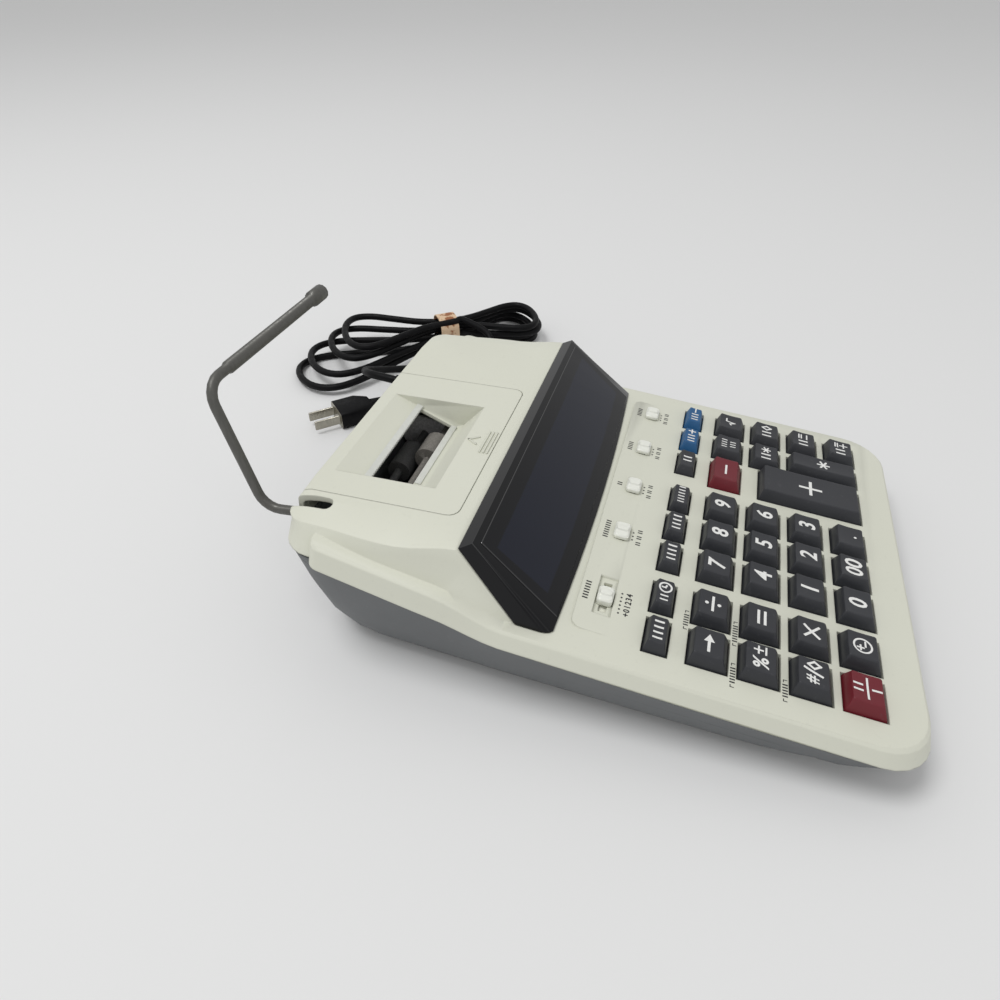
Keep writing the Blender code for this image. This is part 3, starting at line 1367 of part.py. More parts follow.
def add_paper_arm(materials, deck):
    corners = [
        (ARM_X - ARM_AXLE, ARM_PIVOT_Y, ARM_PIVOT_Z),
        (ARM_X, ARM_PIVOT_Y, ARM_PIVOT_Z),
        (ARM_X, ARM_KNEE_Y, ARM_KNEE_Z),
        (ARM_X, ARM_TOP_Y, ARM_TOP_Z),
        (ARM_X + ARM_SLEEVE_START, ARM_TOP_Y, ARM_TOP_Z),
    ]
    path = filleted(corners, (ARM_AXLE_BEND, ARM_BEND, ARM_BEND), ARM_BEND_STEPS)
    radii = [0.5 * ARM_WIRE] * len(path)
    start = path[-1]
    step = Vector((0.5 * (ARM_SLEEVE - ARM_WIRE), 0.0, 0.0))
    cap_start = Vector((ARM_X + ARM_REACH - ARM_CAP_LENGTH, ARM_TOP_Y, ARM_TOP_Z))
    cap_end = Vector((ARM_X + ARM_REACH, ARM_TOP_Y, ARM_TOP_Z))
    cap_round = Vector((ARM_CAP_ROUNDING, 0.0, 0.0))
    for point, radius in (
        (start + step, 0.5 * ARM_SLEEVE),
        (cap_start, 0.5 * ARM_SLEEVE),
        (cap_start + step, 0.5 * ARM_CAP),
        (cap_end - cap_round, 0.5 * ARM_CAP),
        (cap_end, ARM_CAP_END),
    ):
        path.append(point)
        radii.append(radius)
    body = swept(path, radii, ARM_SIDES)
    origin = (ARM_X, ARM_PIVOT_Y, ARM_PIVOT_Z)
    shade_round(object_from("paper_arm", body, materials["wire"], deck, origin))


# The printer mechanism


def motor_place():
    """Where the motor's shaft lies, in mesh with the feed roller's gear."""
    reach = 0.5 * GEAR_MODULE * (GEAR_TEETH + PINION_TEETH)
    return ROLLER_Y + reach * cos(MOTOR_ANGLE), ROLLER_Z + reach * sin(MOTOR_ANGLE)


def gear_outline(teeth, turn):
    """A toothed outline of (y, z) offsets about the shaft, from its module and tooth count."""
    pitch_radius = 0.5 * GEAR_MODULE * teeth
    tip = pitch_radius + GEAR_TIP_SHARE * GEAR_MODULE
    root = pitch_radius - GEAR_ROOT_SHARE * GEAR_MODULE
    shares = ((-0.25, root), (-0.10, tip), (0.10, tip), (0.25, root))
    points = []
    for tooth in range(teeth):
        middle = turn + 2 * pi * tooth / teeth
        for share, radius in shares:
            angle = middle + 2 * pi * share / teeth
            points.append((radius * cos(angle), radius * sin(angle)))
    return points


def gear_body(teeth, turn, y, z):
    """A gear just outside the frame's left plate."""
    outline = [(y + dy, z + dz) for dy, dz in gear_outline(teeth, turn)]
    outer = FRAME_LEFT - BEARING_CLEARANCE
    return solid_across(outline, outer - GEAR_WIDTH, outer)


def shaft_stations(bands, overhang):
    """Turned stations for a shaft across the frame, thicker over the given bands."""
    stations = [(FRAME_LEFT - overhang, SHAFT_RADIUS)]
    for low, high, radius in bands:
        stations += [(low, SHAFT_RADIUS), (low, radius), (high, radius), (high, SHAFT_RADIUS)]
    stations.append((FRAME_RIGHT + BEARING_CLEARANCE, SHAFT_RADIUS))
    return stations


def roller_bands():
    """The two rubber bands of the feed roller."""
    middle = 0.5 * (TROUGH_LEFT + TROUGH_RIGHT)
    quarter = 0.25 * (TROUGH_RIGHT - TROUGH_LEFT)
    half = 0.5 * ROLLER_BAND
    return [(x - half, x + half, ROLLER_RADIUS) for x in (middle - quarter, middle + quarter)]


def wheel_bands():
    """The type wheel's stack of discs."""
    width = (TROUGH_RIGHT - TROUGH_LEFT - 2 * WINDOW_MARGIN) / WHEEL_DISCS
    bands = []
    for index in range(WHEEL_DISCS):
        low = TROUGH_LEFT + WINDOW_MARGIN + index * width
        bands.append((low, low + WHEEL_DISC_SHARE * width, WHEEL_RADIUS))
    return bands


def add_printer(materials, deck):
    motor_y, motor_z = motor_place()
    outline = [
        (FRAME_FRONT, FRAME_FLOOR),
        (FRAME_REAR_FOOT, FRAME_FLOOR),
        (FRAME_REAR, ROLLER_Z - OVERRUN),
        (FRAME_REAR, ROLLER_Z),
        (FRAME_REAR - FRAME_NOSE, FRAME_TOP),
        (FRAME_FRONT + FRAME_NOSE, FRAME_TOP),
        (FRAME_FRONT, ROLLER_Z),
    ]
    body = solid_across(outline, FRAME_LEFT, FRAME_RIGHT)
    hollow = solid_box(
        (FRAME_LEFT + FRAME_PLATE, FRAME_FRONT - OVERRUN, FRAME_FLOOR + FRAME_PLATE),
        (FRAME_RIGHT - FRAME_PLATE, FRAME_REAR + OVERRUN, FRAME_TOP + OVERRUN),
    )
    body = combine(body, hollow, "DIFFERENCE")
    bearings = []
    bore = SHAFT_RADIUS + BEARING_CLEARANCE
    across = (FRAME_LEFT - OVERRUN, FRAME_RIGHT + OVERRUN)
    for y, z in ((ROLLER_Y, ROLLER_Z), (WHEEL_Y, WHEEL_Z), (INK_Y, INK_Z)):
        bearings.append(turned_across([(x, bore) for x in across], 12, y, z))
    near = (FRAME_LEFT - OVERRUN, FRAME_LEFT + FRAME_PLATE + OVERRUN)
    boss = MOTOR_BOSS_RADIUS + BEARING_CLEARANCE
    bearings.append(turned_across([(x, boss) for x in near], 16, motor_y, motor_z))
    body = combine(body, joined(bearings), "DIFFERENCE")
    shade_round(object_from("printer_frame", body, materials["frame"], deck))

    in_gear = BEARING_CLEARANCE + 0.5 * GEAR_WIDTH
    body = turned_across(shaft_stations(roller_bands(), in_gear), ROLLER_SIDES, ROLLER_Y, ROLLER_Z)
    body = combine(body, gear_body(GEAR_TEETH, 0.0, ROLLER_Y, ROLLER_Z), "UNION")
    origin = (FRAME_LEFT, ROLLER_Y, ROLLER_Z)
    shade_round(object_from("feed_roller", body, materials["rubber"], deck, origin))

    line = atan2(WHEEL_Z - ROLLER_Z, WHEEL_Y - ROLLER_Y)
    body = turned_across(shaft_stations(wheel_bands(), in_gear), WHEEL_SIDES, WHEEL_Y, WHEEL_Z)
    turn = meshing_turn(GEAR_TEETH, GEAR_TEETH, line)
    body = combine(body, gear_body(GEAR_TEETH, turn, WHEEL_Y, WHEEL_Z), "UNION")
    origin = (FRAME_LEFT, WHEEL_Y, WHEEL_Z)
    shade_round(object_from("print_wheel", body, materials["frame"], deck, origin))

    half = 0.5 * INK_LENGTH
    band = [(INK_CENTRE - half, INK_CENTRE + half, INK_RADIUS)]
    body = turned_across(shaft_stations(band, 0.0), INK_SIDES, INK_Y, INK_Z)
    origin = (FRAME_LEFT, INK_Y, INK_Z)
    shade_round(object_from("ink_roller", body, materials["ink"], deck, origin))

    inner = FRAME_LEFT + FRAME_PLATE + GAP
    stations = [
        (FRAME_LEFT, MOTOR_BOSS_RADIUS),
        (inner, MOTOR_BOSS_RADIUS),
        (inner, MOTOR_RADIUS),
        (inner + MOTOR_LENGTH, MOTOR_RADIUS),
    ]
    body = turned_across(stations, MOTOR_SIDES, motor_y, motor_z)
    bore = PINION_SHAFT + BEARING_CLEARANCE
    hole = turned_across(((FRAME_LEFT - OVERRUN, bore), (inner + OVERRUN, bore)), 12, motor_y, motor_z)
    body = combine(body, hole, "DIFFERENCE")
    shade_round(object_from("printer_motor", body, materials["motor"], deck))

    turn = meshing_turn(GEAR_TEETH, PINION_TEETH, MOTOR_ANGLE)
    body = gear_body(PINION_TEETH, turn, motor_y, motor_z)
    low = FRAME_LEFT - BEARING_CLEARANCE - 0.5 * GEAR_WIDTH
    stations = ((low, PINION_SHAFT), (inner + OVERRUN - GAP, PINION_SHAFT))
    shaft = turned_across(stations, 12, motor_y, motor_z)
    body = combine(body, shaft, "UNION")
    origin = (FRAME_LEFT, motor_y, motor_z)
    object_from("motor_pinion", body, materials["gear"], deck, origin)


def meshing_turn(first_teeth, second_teeth, line):
    """Turn for the second gear so that a gap of it meets the first gear's teeth on their line.
    The first gear has a tooth at angle zero."""
    lead = line * first_teeth / second_teeth
    return line + pi + pi / second_teeth + lead


def add_circuit_board(materials, deck):
    outline = rounded_rectangle(
        -BOARD_HALF_WIDTH, -BOARD_FRONT, BOARD_HALF_WIDTH, BOARD_REAR, BOARD_CORNER, 2
    )
    low = -BOARD_DEPTH - BOARD_THICKNESS
    object_from("circuit_board", solid_upright(outline, low, -BOARD_DEPTH), materials["board"], deck)


def add_transformer(materials, deck):
    low = (
        TRANSFORMER_X - 0.5 * TRANSFORMER_WIDTH,
        TRANSFORMER_Y - 0.5 * TRANSFORMER_DEPTH,
        TRANSFORMER_BASE,
    )
    high = (
        TRANSFORMER_X + 0.5 * TRANSFORMER_WIDTH,
        TRANSFORMER_Y + 0.5 * TRANSFORMER_DEPTH,
        TRANSFORMER_BASE + TRANSFORMER_HEIGHT,
    )
    body = solid_box(low, high)
    middle = TRANSFORMER_BASE + 0.5 * TRANSFORMER_HEIGHT
    outline = rounded_rectangle(
        TRANSFORMER_X - 0.5 * COIL_WIDTH,
        TRANSFORMER_Y - 0.5 * COIL_DEPTH,
        TRANSFORMER_X + 0.5 * COIL_WIDTH,
        TRANSFORMER_Y + 0.5 * COIL_DEPTH,
        COIL_CORNER,
        3,
    )
    coil = solid_upright(outline, middle - 0.5 * COIL_HEIGHT, middle + 0.5 * COIL_HEIGHT)
    body = combine(body, coil, "UNION")
    object_from("transformer", body, materials["core"], deck)


# The cord


def relief_seat():
    """Where the bush's flange rests, just clear of the sloping rear face."""
    return rear_wall(RELIEF_Z + RELIEF_FLANGE) + GAP


def add_strain_relief(materials, deck):
    """A bush in the lower case's rear wall with a tapered tail. Its Z axis points to the rear."""
    wall_inner = rear_wall(RELIEF_Z - RELIEF_FLANGE) - 2 * WALL - relief_seat()
    stations = (
        (wall_inner - RELIEF_LIP, RELIEF_NECK),
        (0.0, RELIEF_NECK),
        (0.0, RELIEF_FLANGE),
        (RELIEF_LIP, RELIEF_FLANGE),
        (RELIEF_LIP, RELIEF_SLEEVE),
        (RELIEF_LENGTH, RELIEF_TAIL),
    )
    body = turned_upright(stations, RELIEF_SIDES, 0.0, 0.0)
    piece = object_from("strain_relief", body, materials["cord"], deck)
    piece.location = (RELIEF_X, relief_seat(), RELIEF_Z)
    piece.rotation_euler = Euler((-0.5 * pi, 0.0, 0.0))
    shade_round(piece)


def hank_point(turn):
    """A point of the tied hank, by the number of turns from its start on the table. Each turn is
    a slim loop drawn in at the waist. The loops spiral in and out by turns, climb a layer along
    the run before the spiral reverses, and fan out about the waist."""
    inward = abs((turn + 1) % 2 - 1)
    angle = 0.5 * pi + 2 * pi * turn
    ahead = cos(angle) > 0
    reach = HANK_REACH - HANK_REACH_LOSS * turn if ahead else HANK_BACK_REACH
    lobe = HANK_LOBE if ahead else HANK_BACK_LOBE
    along = (reach - HANK_STEP * inward) * cos(angle)
    waist = HANK_WAIST + HANK_STEP * (1 - inward)
    across = sin(angle) * (waist + lobe * cos(angle) ** 2)
    climbs = 0.0
    for reversal in range(1, HANK_TURNS + 1):
        climbs += min(max((turn - reversal) / HANK_CLIMB_SHARE + 1.0, 0.0), 1.0)
    fan = HANK_AXIS + HANK_FAN * turn
    x = HANK_X + along * cos(fan) - across * sin(fan)
    y = HANK_Y + along * sin(fan) + across * cos(fan)
    return Vector((x, y, 0.5 * CORD_DIAMETER + HANK_LAYER * climbs))


def smooth_curve(points, spacing):
    """Points read at about equal spacing from a smooth curve through the given ones."""
    vectors = [Vector(point) for point in points]
    padded = [2 * vectors[0] - vectors[1]] + vectors + [2 * vectors[-1] - vectors[-2]]
    fine = []
    for index in range(1, len(padded) - 2):
        p0, p1, p2, p3 = padded[index - 1 : index + 3]
        steps = max(2, ceil((p2 - p1).length / spacing))
        for step in range(steps):
            t = step / steps
            fine.append(
                0.5
                * (
                    2 * p1
                    + (p2 - p0) * t
                    + (2 * p0 - 5 * p1 + 4 * p2 - p3) * t * t
                    + (3 * p1 - p0 - 3 * p2 + p3) * t * t * t
                )
            )
    fine.append(vectors[-1])
    return fine


def cord_object(name, points, resolution, material):
    curve = bpy.data.curves.new(name, "CURVE")
    curve.dimensions = "3D"
    curve.bevel_depth = 0.5 * CORD_DIAMETER
    curve.bevel_resolution = resolution
    curve.use_fill_caps = True
    spline = curve.splines.new("POLY")
    spline.points.add(len(points) - 1)
    for slot, point in zip(spline.points, points):
        slot.co = (*point, 1.0)
    curve.materials.append(material)
    piece = bpy.data.objects.new(name, curve)
    bpy.context.collection.objects.link(piece)
    return piece


def least_gap(points):
    """The smallest clear distance between stretches of a tube that are far apart along it."""
    best = None
    away = 4 * CORD_DIAMETER
    lengths = [0.0]
    for before, after in zip(points, points[1:]):
        lengths.append(lengths[-1] + (after - before).length)
    for first in range(len(points) - 1):
        for second in range(first + 2, len(points) - 1):
            if lengths[second] - lengths[first + 1] < away:
                continue
            distance = segment_distance(*points[first : first + 2], *points[second : second + 2])
            if best is None or distance < best:
                best = distance
    return best - CORD_DIAMETER


def segment_distance(a, b, c, d):
    """The shortest distance between two straight stretches."""
    along = b - a
    other = d - c
    between = a - c
    aa = along.dot(along)
    ee = other.dot(other)
    ff = other.dot(between)
    cc = along.dot(between)
    bb = along.dot(other)
    spread = aa * ee - bb * bb
    s = min(max((bb * ff - cc * ee) / spread, 0.0), 1.0) if spread > 0 else 0.0
    t = (bb * s + ff) / ee
    if t < 0 or t > 1:
        t = min(max(t, 0.0), 1.0)
        s = min(max((bb * t - cc) / aa, 0.0), 1.0)
    return (a + along * s - c - other * t).length


def plug_body():
    """A moulded two-blade plug along its own X axis: tail, body and blades."""
    half_width = 0.5 * PLUG_WIDTH
    half_height = 0.5 * PLUG_HEIGHT
    tail = 0.5 * PLUG_TAIL
    sections = (
        (0.0, PLUG_TIP_SHARE * tail, PLUG_TIP_SHARE * tail),
        (PLUG_TAIL_LENGTH, tail, tail),
        (PLUG_TAIL_LENGTH, PLUG_NECK_WIDTH_SHARE * half_width, PLUG_NECK_HEIGHT_SHARE * half_height),
        (PLUG_TAIL_LENGTH + PLUG_NECK_LENGTH_SHARE * PLUG_LENGTH, half_width, half_height),
        (PLUG_TAIL_LENGTH + PLUG_LENGTH, half_width, half_height),
    )
    rings = []
    for x, reach_y, reach_z in sections:
        radius = PLUG_CORNER_SHARE * min(reach_y, reach_z)
        outline = rounded_rectangle(-reach_y, -reach_z, reach_y, reach_z, radius, 2)
        rings.append([(x, y, z) for y, z in outline])
    body = solid_from_rings(rings)
    front = PLUG_TAIL_LENGTH + PLUG_LENGTH
    for side in (-1, 1):
        middle = 0.5 * side * BLADE_SPACING
        low = (front - OVERRUN, middle - 0.5 * BLADE_THICKNESS, -0.5 * BLADE_WIDTH)
        high = (front + BLADE_LENGTH, middle + 0.5 * BLADE_THICKNESS, 0.5 * BLADE_WIDTH)
        body = combine(body, solid_box(low, high), "UNION")
    return body


def add_cord(materials, relief_end, rearward):
    """The free stretch from the strain relief, the tied hank and the plug, all on the table."""
    plug = object_from("plug", plug_body(), materials["cord"])
    plug.location = (PLUG_X, PLUG_Y, 0.5 * PLUG_HEIGHT)
    plug.rotation_euler = Euler((0.0, 0.0, PLUG_ANGLE))
    shade_round(plug)

    outward = Vector((-cos(PLUG_ANGLE), -sin(PLUG_ANGLE), 0.0))
    plug_end = plug.location + outward * GAP
    steps = range(HANK_TURNS * HANK_TURN_POINTS + 1)
    loops = [hank_point(step / HANK_TURN_POINTS) for step in steps]
    lead = [plug_end + outward * CORD_DIAMETER] + [Vector(point) * MM for point in PLUG_ROUTE]
    last_run = (loops[-1] - loops[-2]).normalized()
    hank_end = loops[-1] + last_run * CORD_DIAMETER
    hank = [plug_end] + smooth_curve(lead + [loops[0]], CORD_SPACING)[:-1] + loops + [hank_end]
    cord_object("cord_hank", hank, 1, materials["cord"])
    print("least gap in the hank, mm:", round(least_gap(hank) / MM, 2))

    start = relief_end + rearward * GAP
    finish = hank_end + last_run * GAP
    route = [start + rearward * CORD_DIAMETER]
    route += [Vector(point) * MM for point in CORD_ROUTE]
    route.append(finish + last_run * CORD_DIAMETER)
    cord = [start] + smooth_curve(route, CORD_SPACING) + [finish]
    cord_object("power_cord", cord, 2, materials["cord"])


def stand_on_origin(deck):
    """Moves the tilted deck so that the object's box stands centred on the world's origin."""
    bpy.context.view_layer.update()
    points = []
    for piece in deck.children:
        points += [piece.matrix_world @ vertex.co for vertex in piece.data.vertices]
    across = [point.x for point in points]
    along = [point.y for point in points]
    deck.location.x -= 0.5 * (min(across) + max(across))
    deck.location.y -= 0.5 * (min(along) + max(along))
    bpy.context.view_layer.update()


def build():
    start_empty_scene()
    finishes = {
        "ivory": IVORY,
        "grey": GREY,
        "key_dark": KEY_DARK,
        "key_red": KEY_RED,
        "key_blue": KEY_BLUE,
        "knob": KNOB_WHITE,
        "bezel": GLOSS_BLACK,
        "clear": CLEAR_GREY,
        "wire": WIRE_STEEL,
        "frame": FRAME_BLACK,
        "rubber": ROLLER_RUBBER,
        "ink": INK_GREY,
        "motor": MOTOR_STEEL,
        "gear": GEAR_WHITE,
        "board": BOARD_BROWN,
        "core": CORE_STEEL,
        "cord": CORD_BLACK,
    }
    materials = {name: make_material(name, finish) for name, finish in finishes.items()}
    deck = bpy.data.objects.new("deck", None)
    bpy.context.collection.objects.link(deck)
    deck.location = (0.0, 0.0, DECK_HEIGHT)
    deck.rotation_euler = Euler((TILT, 0.0, 0.0))

    shell = housing_shell()
    add_upper_case(materials, deck, shell.copy())
    add_printer_cover(materials, deck, shell)
    add_tear_bar(materials, deck)
    add_lower_case(materials, deck)
    add_display_bezel(materials, deck)
    add_keys(materials, deck)
    add_switches(materials, deck)
    add_paper_arm(materials, deck)
    add_printer(materials, deck)
    add_circuit_board(materials, deck)
    add_transformer(materials, deck)
    add_strain_relief(materials, deck)
    stand_on_origin(deck)
    relief_end = deck.matrix_world @ Vector((RELIEF_X, relief_seat() + RELIEF_LENGTH, RELIEF_Z))
    rearward = (deck.matrix_world.to_3x3() @ Vector((0.0, 1.0, 0.0))).normalized()
    add_cord(materials, relief_end, rearward)


build()
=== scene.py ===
# Looks for the desk calculator with its paper printer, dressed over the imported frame.
import json

import bmesh
import bpy
from math import atan2, cos, pi, radians, sin
from mathutils import Matrix, Vector
from mathutils.bvhtree import BVHTree

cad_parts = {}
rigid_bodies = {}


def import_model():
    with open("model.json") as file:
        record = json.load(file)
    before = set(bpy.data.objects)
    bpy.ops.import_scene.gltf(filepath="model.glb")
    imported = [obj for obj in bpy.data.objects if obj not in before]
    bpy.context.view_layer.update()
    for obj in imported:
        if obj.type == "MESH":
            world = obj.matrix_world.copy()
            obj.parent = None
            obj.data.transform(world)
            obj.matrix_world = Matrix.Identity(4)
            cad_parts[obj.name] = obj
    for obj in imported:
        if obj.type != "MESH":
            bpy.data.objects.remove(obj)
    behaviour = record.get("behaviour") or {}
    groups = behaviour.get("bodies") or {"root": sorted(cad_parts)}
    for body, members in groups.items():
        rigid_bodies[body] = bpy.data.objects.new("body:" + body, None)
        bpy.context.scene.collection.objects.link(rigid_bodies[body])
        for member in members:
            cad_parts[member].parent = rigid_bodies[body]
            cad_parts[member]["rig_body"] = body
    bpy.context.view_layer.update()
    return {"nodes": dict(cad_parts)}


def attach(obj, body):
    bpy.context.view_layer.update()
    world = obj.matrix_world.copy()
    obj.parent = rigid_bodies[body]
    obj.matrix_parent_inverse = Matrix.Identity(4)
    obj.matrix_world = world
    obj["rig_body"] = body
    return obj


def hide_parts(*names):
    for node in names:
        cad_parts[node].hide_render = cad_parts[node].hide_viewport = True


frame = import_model()
nodes = frame["nodes"]
print("frame loaded:", len(nodes), "nodes")

# The deck is the key surface; it tilts up to the rear. X right, Y rear, Z square to the keys.
deck = {"tilt": 6.0, "y": -0.054683, "z": 0.037}
deckTurn = Matrix.Rotation(radians(deck["tilt"]), 4, "X")
deckMatrix = Matrix.Translation((0, deck["y"], deck["z"])) @ deckTurn
deckUp = (deckTurn.to_3x3() @ Vector((0, 0, 1))).normalized()
mm = 0.001


# Camera, at the photograph's place
camera = {"place": (-283.3, -38.48, 262.26), "turn": (51.2238, 0.3028, -73.1918), "lens": 25.92}
cameraData = bpy.data.cameras.new("photoCamera")
cameraData.lens = camera["lens"]
cameraData.sensor_width = 36
cameraData.clip_start = 0.01
photoCamera = bpy.data.objects.new("photoCamera", cameraData)
photoCamera.location = Vector(camera["place"]) * mm
photoCamera.rotation_euler = [radians(angle) for angle in camera["turn"]]
bpy.context.scene.collection.objects.link(photoCamera)
bpy.context.scene.camera = photoCamera


def addPiece(name, mesh, material, body, replaced=()):
    piece = bpy.data.objects.new(name, mesh)
    bpy.context.scene.collection.objects.link(piece)
    if material:
        piece.data.materials.append(material)
    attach(piece, body)
    if replaced:
        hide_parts(*replaced)
    return piece


def meshFrom(work, name):
    mesh = bpy.data.meshes.new(name)
    work.to_mesh(mesh)
    work.free()
    return mesh


def gather(works):
    whole = bmesh.new()
    for work in works:
        mesh = meshFrom(work, "part")
        whole.from_mesh(mesh)
        bpy.data.meshes.remove(mesh)
    return whole


# Shader values written as sums: Value wraps a socket and adds the Math nodes


class Value:
    def __init__(self, finish, socket):
        self.finish = finish
        self.socket = socket

    def joined(self, operation, first, second):
        node = self.finish.add("ShaderNodeMath", {"operation": operation}, {0: first, 1: second})
        return Value(self.finish, node.outputs[0])

    def __add__(self, other):
        return self.joined("ADD", self, other)

    __radd__ = __add__

    def __mul__(self, other):
        return self.joined("MULTIPLY", self, other)

    __rmul__ = __mul__

    def __sub__(self, other):
        return self.joined("SUBTRACT", self, other)

    def __rsub__(self, other):
        return self.joined("SUBTRACT", other, self)


class Finish:
    # one material, with short ways to add what it is made of
    def __init__(self, name, colour, roughness, metallic=0.0):
        self.material = bpy.data.materials.new(name)
        self.material.use_nodes = True
        self.tree = self.material.node_tree
        self.shader = self.tree.nodes["Principled BSDF"]
        self.set("Base Color", (*colour, 1))
        self.set("Roughness", roughness)
        self.set("Metallic", metallic)

    def feed(self, socket, value):
        if isinstance(value, Value):
            value = value.socket
        if isinstance(value, bpy.types.NodeSocket):
            self.tree.links.new(value, socket)
        else:
            socket.default_value = value

    def set(self, name, value):
        self.feed(self.shader.inputs[name], value)

    def add(self, kind, settings=None, inputs=None):
        node = self.tree.nodes.new(kind)
        for key, value in (settings or {}).items():
            setattr(node, key, value)
        for key, value in (inputs or {}).items():
            self.feed(node.inputs[key], value)
        return node

    def place(self, onDeck=False):
        # Object coordinates in metres, or the same measured in the tilted deck
        where = self.add("ShaderNodeTexCoord").outputs["Object"]
        if not onDeck:
            return where
        settings = {"vector_type": "TEXTURE"}
        turned = {"Location": (0, deck["y"], deck["z"]), "Rotation": (radians(deck["tilt"]), 0, 0)}
        return self.add("ShaderNodeMapping", settings, {"Vector": where, **turned}).outputs[0]

    def axes(self, where):
        split = self.add("ShaderNodeSeparateXYZ", None, {0: where})
        return [Value(self, socket) for socket in split.outputs]

    def noise(self, where, scale, detail=2.0, roughness=0.5):
        inputs = {"Vector": where, "Scale": scale, "Detail": detail, "Roughness": roughness}
        return Value(self, self.add("ShaderNodeTexNoise", None, inputs).outputs[0])

    def between(self, value, low, high, start=0.0, stop=1.0):
        # a soft step: start below low, stop above high
        inputs = {"Value": value, "From Min": low, "From Max": high, "To Min": start, "To Max": stop}
        node = self.add("ShaderNodeMapRange", {"interpolation_type": "SMOOTHSTEP"}, inputs)
        return Value(self, node.outputs[0])

    def mixed(self, share, first, second):
        node = self.add("ShaderNodeMix", {"data_type": "RGBA"}, {"Factor": share})
        colours = [socket for socket in node.inputs if socket.type == "RGBA"]
        for socket, colour in zip(colours, (first, second)):
            self.feed(socket, colour if not isinstance(colour, tuple) else (*colour, 1))
        return [socket for socket in node.outputs if socket.type == "RGBA"][0]

    def bump(self, height, depth, strength=1.0, onto=None):
        inputs = {"Height": height, "Distance": depth, "Strength": strength}
        if onto:
            inputs["Normal"] = onto
        return self.add("ShaderNodeBump", None, inputs).outputs[0]

    def softEdge(self, radius):
        return self.add("ShaderNodeBevel", {"samples": 6}, {"Radius": radius}).outputs[0]


def mouldedPlastic(name, look):
    # matt moulding: fine spark grain, faint clouds of colour and gloss, small specks
    finish = Finish(name, look["colour"], look["roughness"])
    where = finish.place()
    clouds = finish.noise(where, 14, 3)
    specks = finish.noise(where, 420, 2)
    colour = finish.mixed(clouds, look["colour"], look["shade"])
    colour = finish.mixed(finish.between(specks, 0.62, 0.75, 0, look["fleck"]), colour, look["speck"])
    finish.set("Base Color", colour)
    low, high = look["roughness"] - 0.05, look["roughness"] + 0.06
    finish.set("Roughness", finish.between(clouds, 0.3, 0.7, low, high))
    grain = finish.noise(where, look["grain"], 3, 0.6)
    edge = finish.softEdge(look["edge"]) if look["edge"] else None
    finish.set("Normal", finish.bump(grain, look["depth"], look["strength"], edge))
    return finish


ivoryLook = {
    "colour": (0.66, 0.668, 0.575),
    "shade": (0.635, 0.64, 0.545),
    "speck": (0.5, 0.5, 0.42),
    "fleck": 0.12,
    "roughness": 0.5,
    "grain": 2600,
    "depth": 0.00002,
    "strength": 0.35,
    "edge": 0.0007,
}
greyLook = {
    "colour": (0.13, 0.137, 0.142),
    "shade": (0.118, 0.124, 0.129),
    "speck": (0.18, 0.185, 0.19),
    "fleck": 0.25,
    "roughness": 0.55,
    "grain": 2300,
    "depth": 0.00003,
    "strength": 0.5,
    "edge": 0.0007,
}
keyLooks = {
    "dark": ((0.026, 0.028, 0.033), (0.022, 0.023, 0.028)),
    "red": ((0.15, 0.006, 0.015), (0.13, 0.005, 0.012)),
    "blue": ((0.009, 0.095, 0.24), (0.008, 0.08, 0.21)),
}
keyShared = {
    "speck": (0.09, 0.09, 0.1),
    "fleck": 0.15,
    "roughness": 0.46,
    "grain": 3000,
    "depth": 0.000015,
    "strength": 0.3,
    "edge": 0.0003,
}
ivory = mouldedPlastic("ivoryPlastic", ivoryLook).material


def greyPlastic():
    # the lower case: the same moulding, with rubber on the ends of the feet
    finish = mouldedPlastic("greyPlastic", greyLook)
    colour = finish.shader.inputs["Base Color"].links[0].from_socket
    height = finish.axes(finish.place())[2]
    pad = finish.between(height, 0.0026, 0.0028, 1, 0)
    finish.set("Base Color", finish.mixed(pad, colour, (0.02, 0.02, 0.021)))
    return finish.material


grey = greyPlastic()
keyFinish = {}
for tone, (colour, shade) in keyLooks.items():
    look = {"colour": colour, "shade": shade, **keyShared}
    keyFinish[tone] = mouldedPlastic(tone + "KeyPlastic", look).material


def bezelPlastic(name, black):
    # polished black, with the smoked display window let into its face
    look = {
        "window": (0.0055, 0.0075, 0.017),
        "halfWidth": 0.0825,
        "low": 0.0065,
        "high": 0.0235,
        "blur": 0.0006,
        "gloss": 0.09,
        "dusty": 0.3,
    }
    finish = Finish(name, black, look["gloss"])
    where = finish.place(onDeck=True)
    x, _, z = finish.axes(where)
    aside = Value(finish, finish.add("ShaderNodeMath", {"operation": "ABSOLUTE"}, {0: x}).outputs[0])
    sideways = finish.between(aside, look["halfWidth"], look["halfWidth"] + look["blur"], 1, 0)
    overLow = finish.between(z, look["low"], look["low"] + look["blur"])
    underHigh = finish.between(z, look["high"], look["high"] + look["blur"], 1, 0)
    window = sideways * (overLow * underHigh)
    finish.set("Base Color", finish.mixed(window, black, look["window"]))
    dust = finish.noise(finish.place(), 900, 2)
    finish.set("Roughness", finish.between(dust, 0.66, 0.8, look["gloss"], look["dusty"]))
    finish.set("Normal", finish.bump(finish.noise(finish.place(), 30, 2), 0.0004, 0.12))
    finish.set("Specular IOR Level", 0.27)
    return finish.material


def edgePlastic():
    finish = Finish("polishedEdge", (0.004, 0.0042, 0.005), 0.12)
    finish.set("Specular IOR Level", 1.0)
    finish.set("Normal", finish.bump(finish.noise(finish.place(), 60, 2), 0.0002, 0.1))
    return finish.material


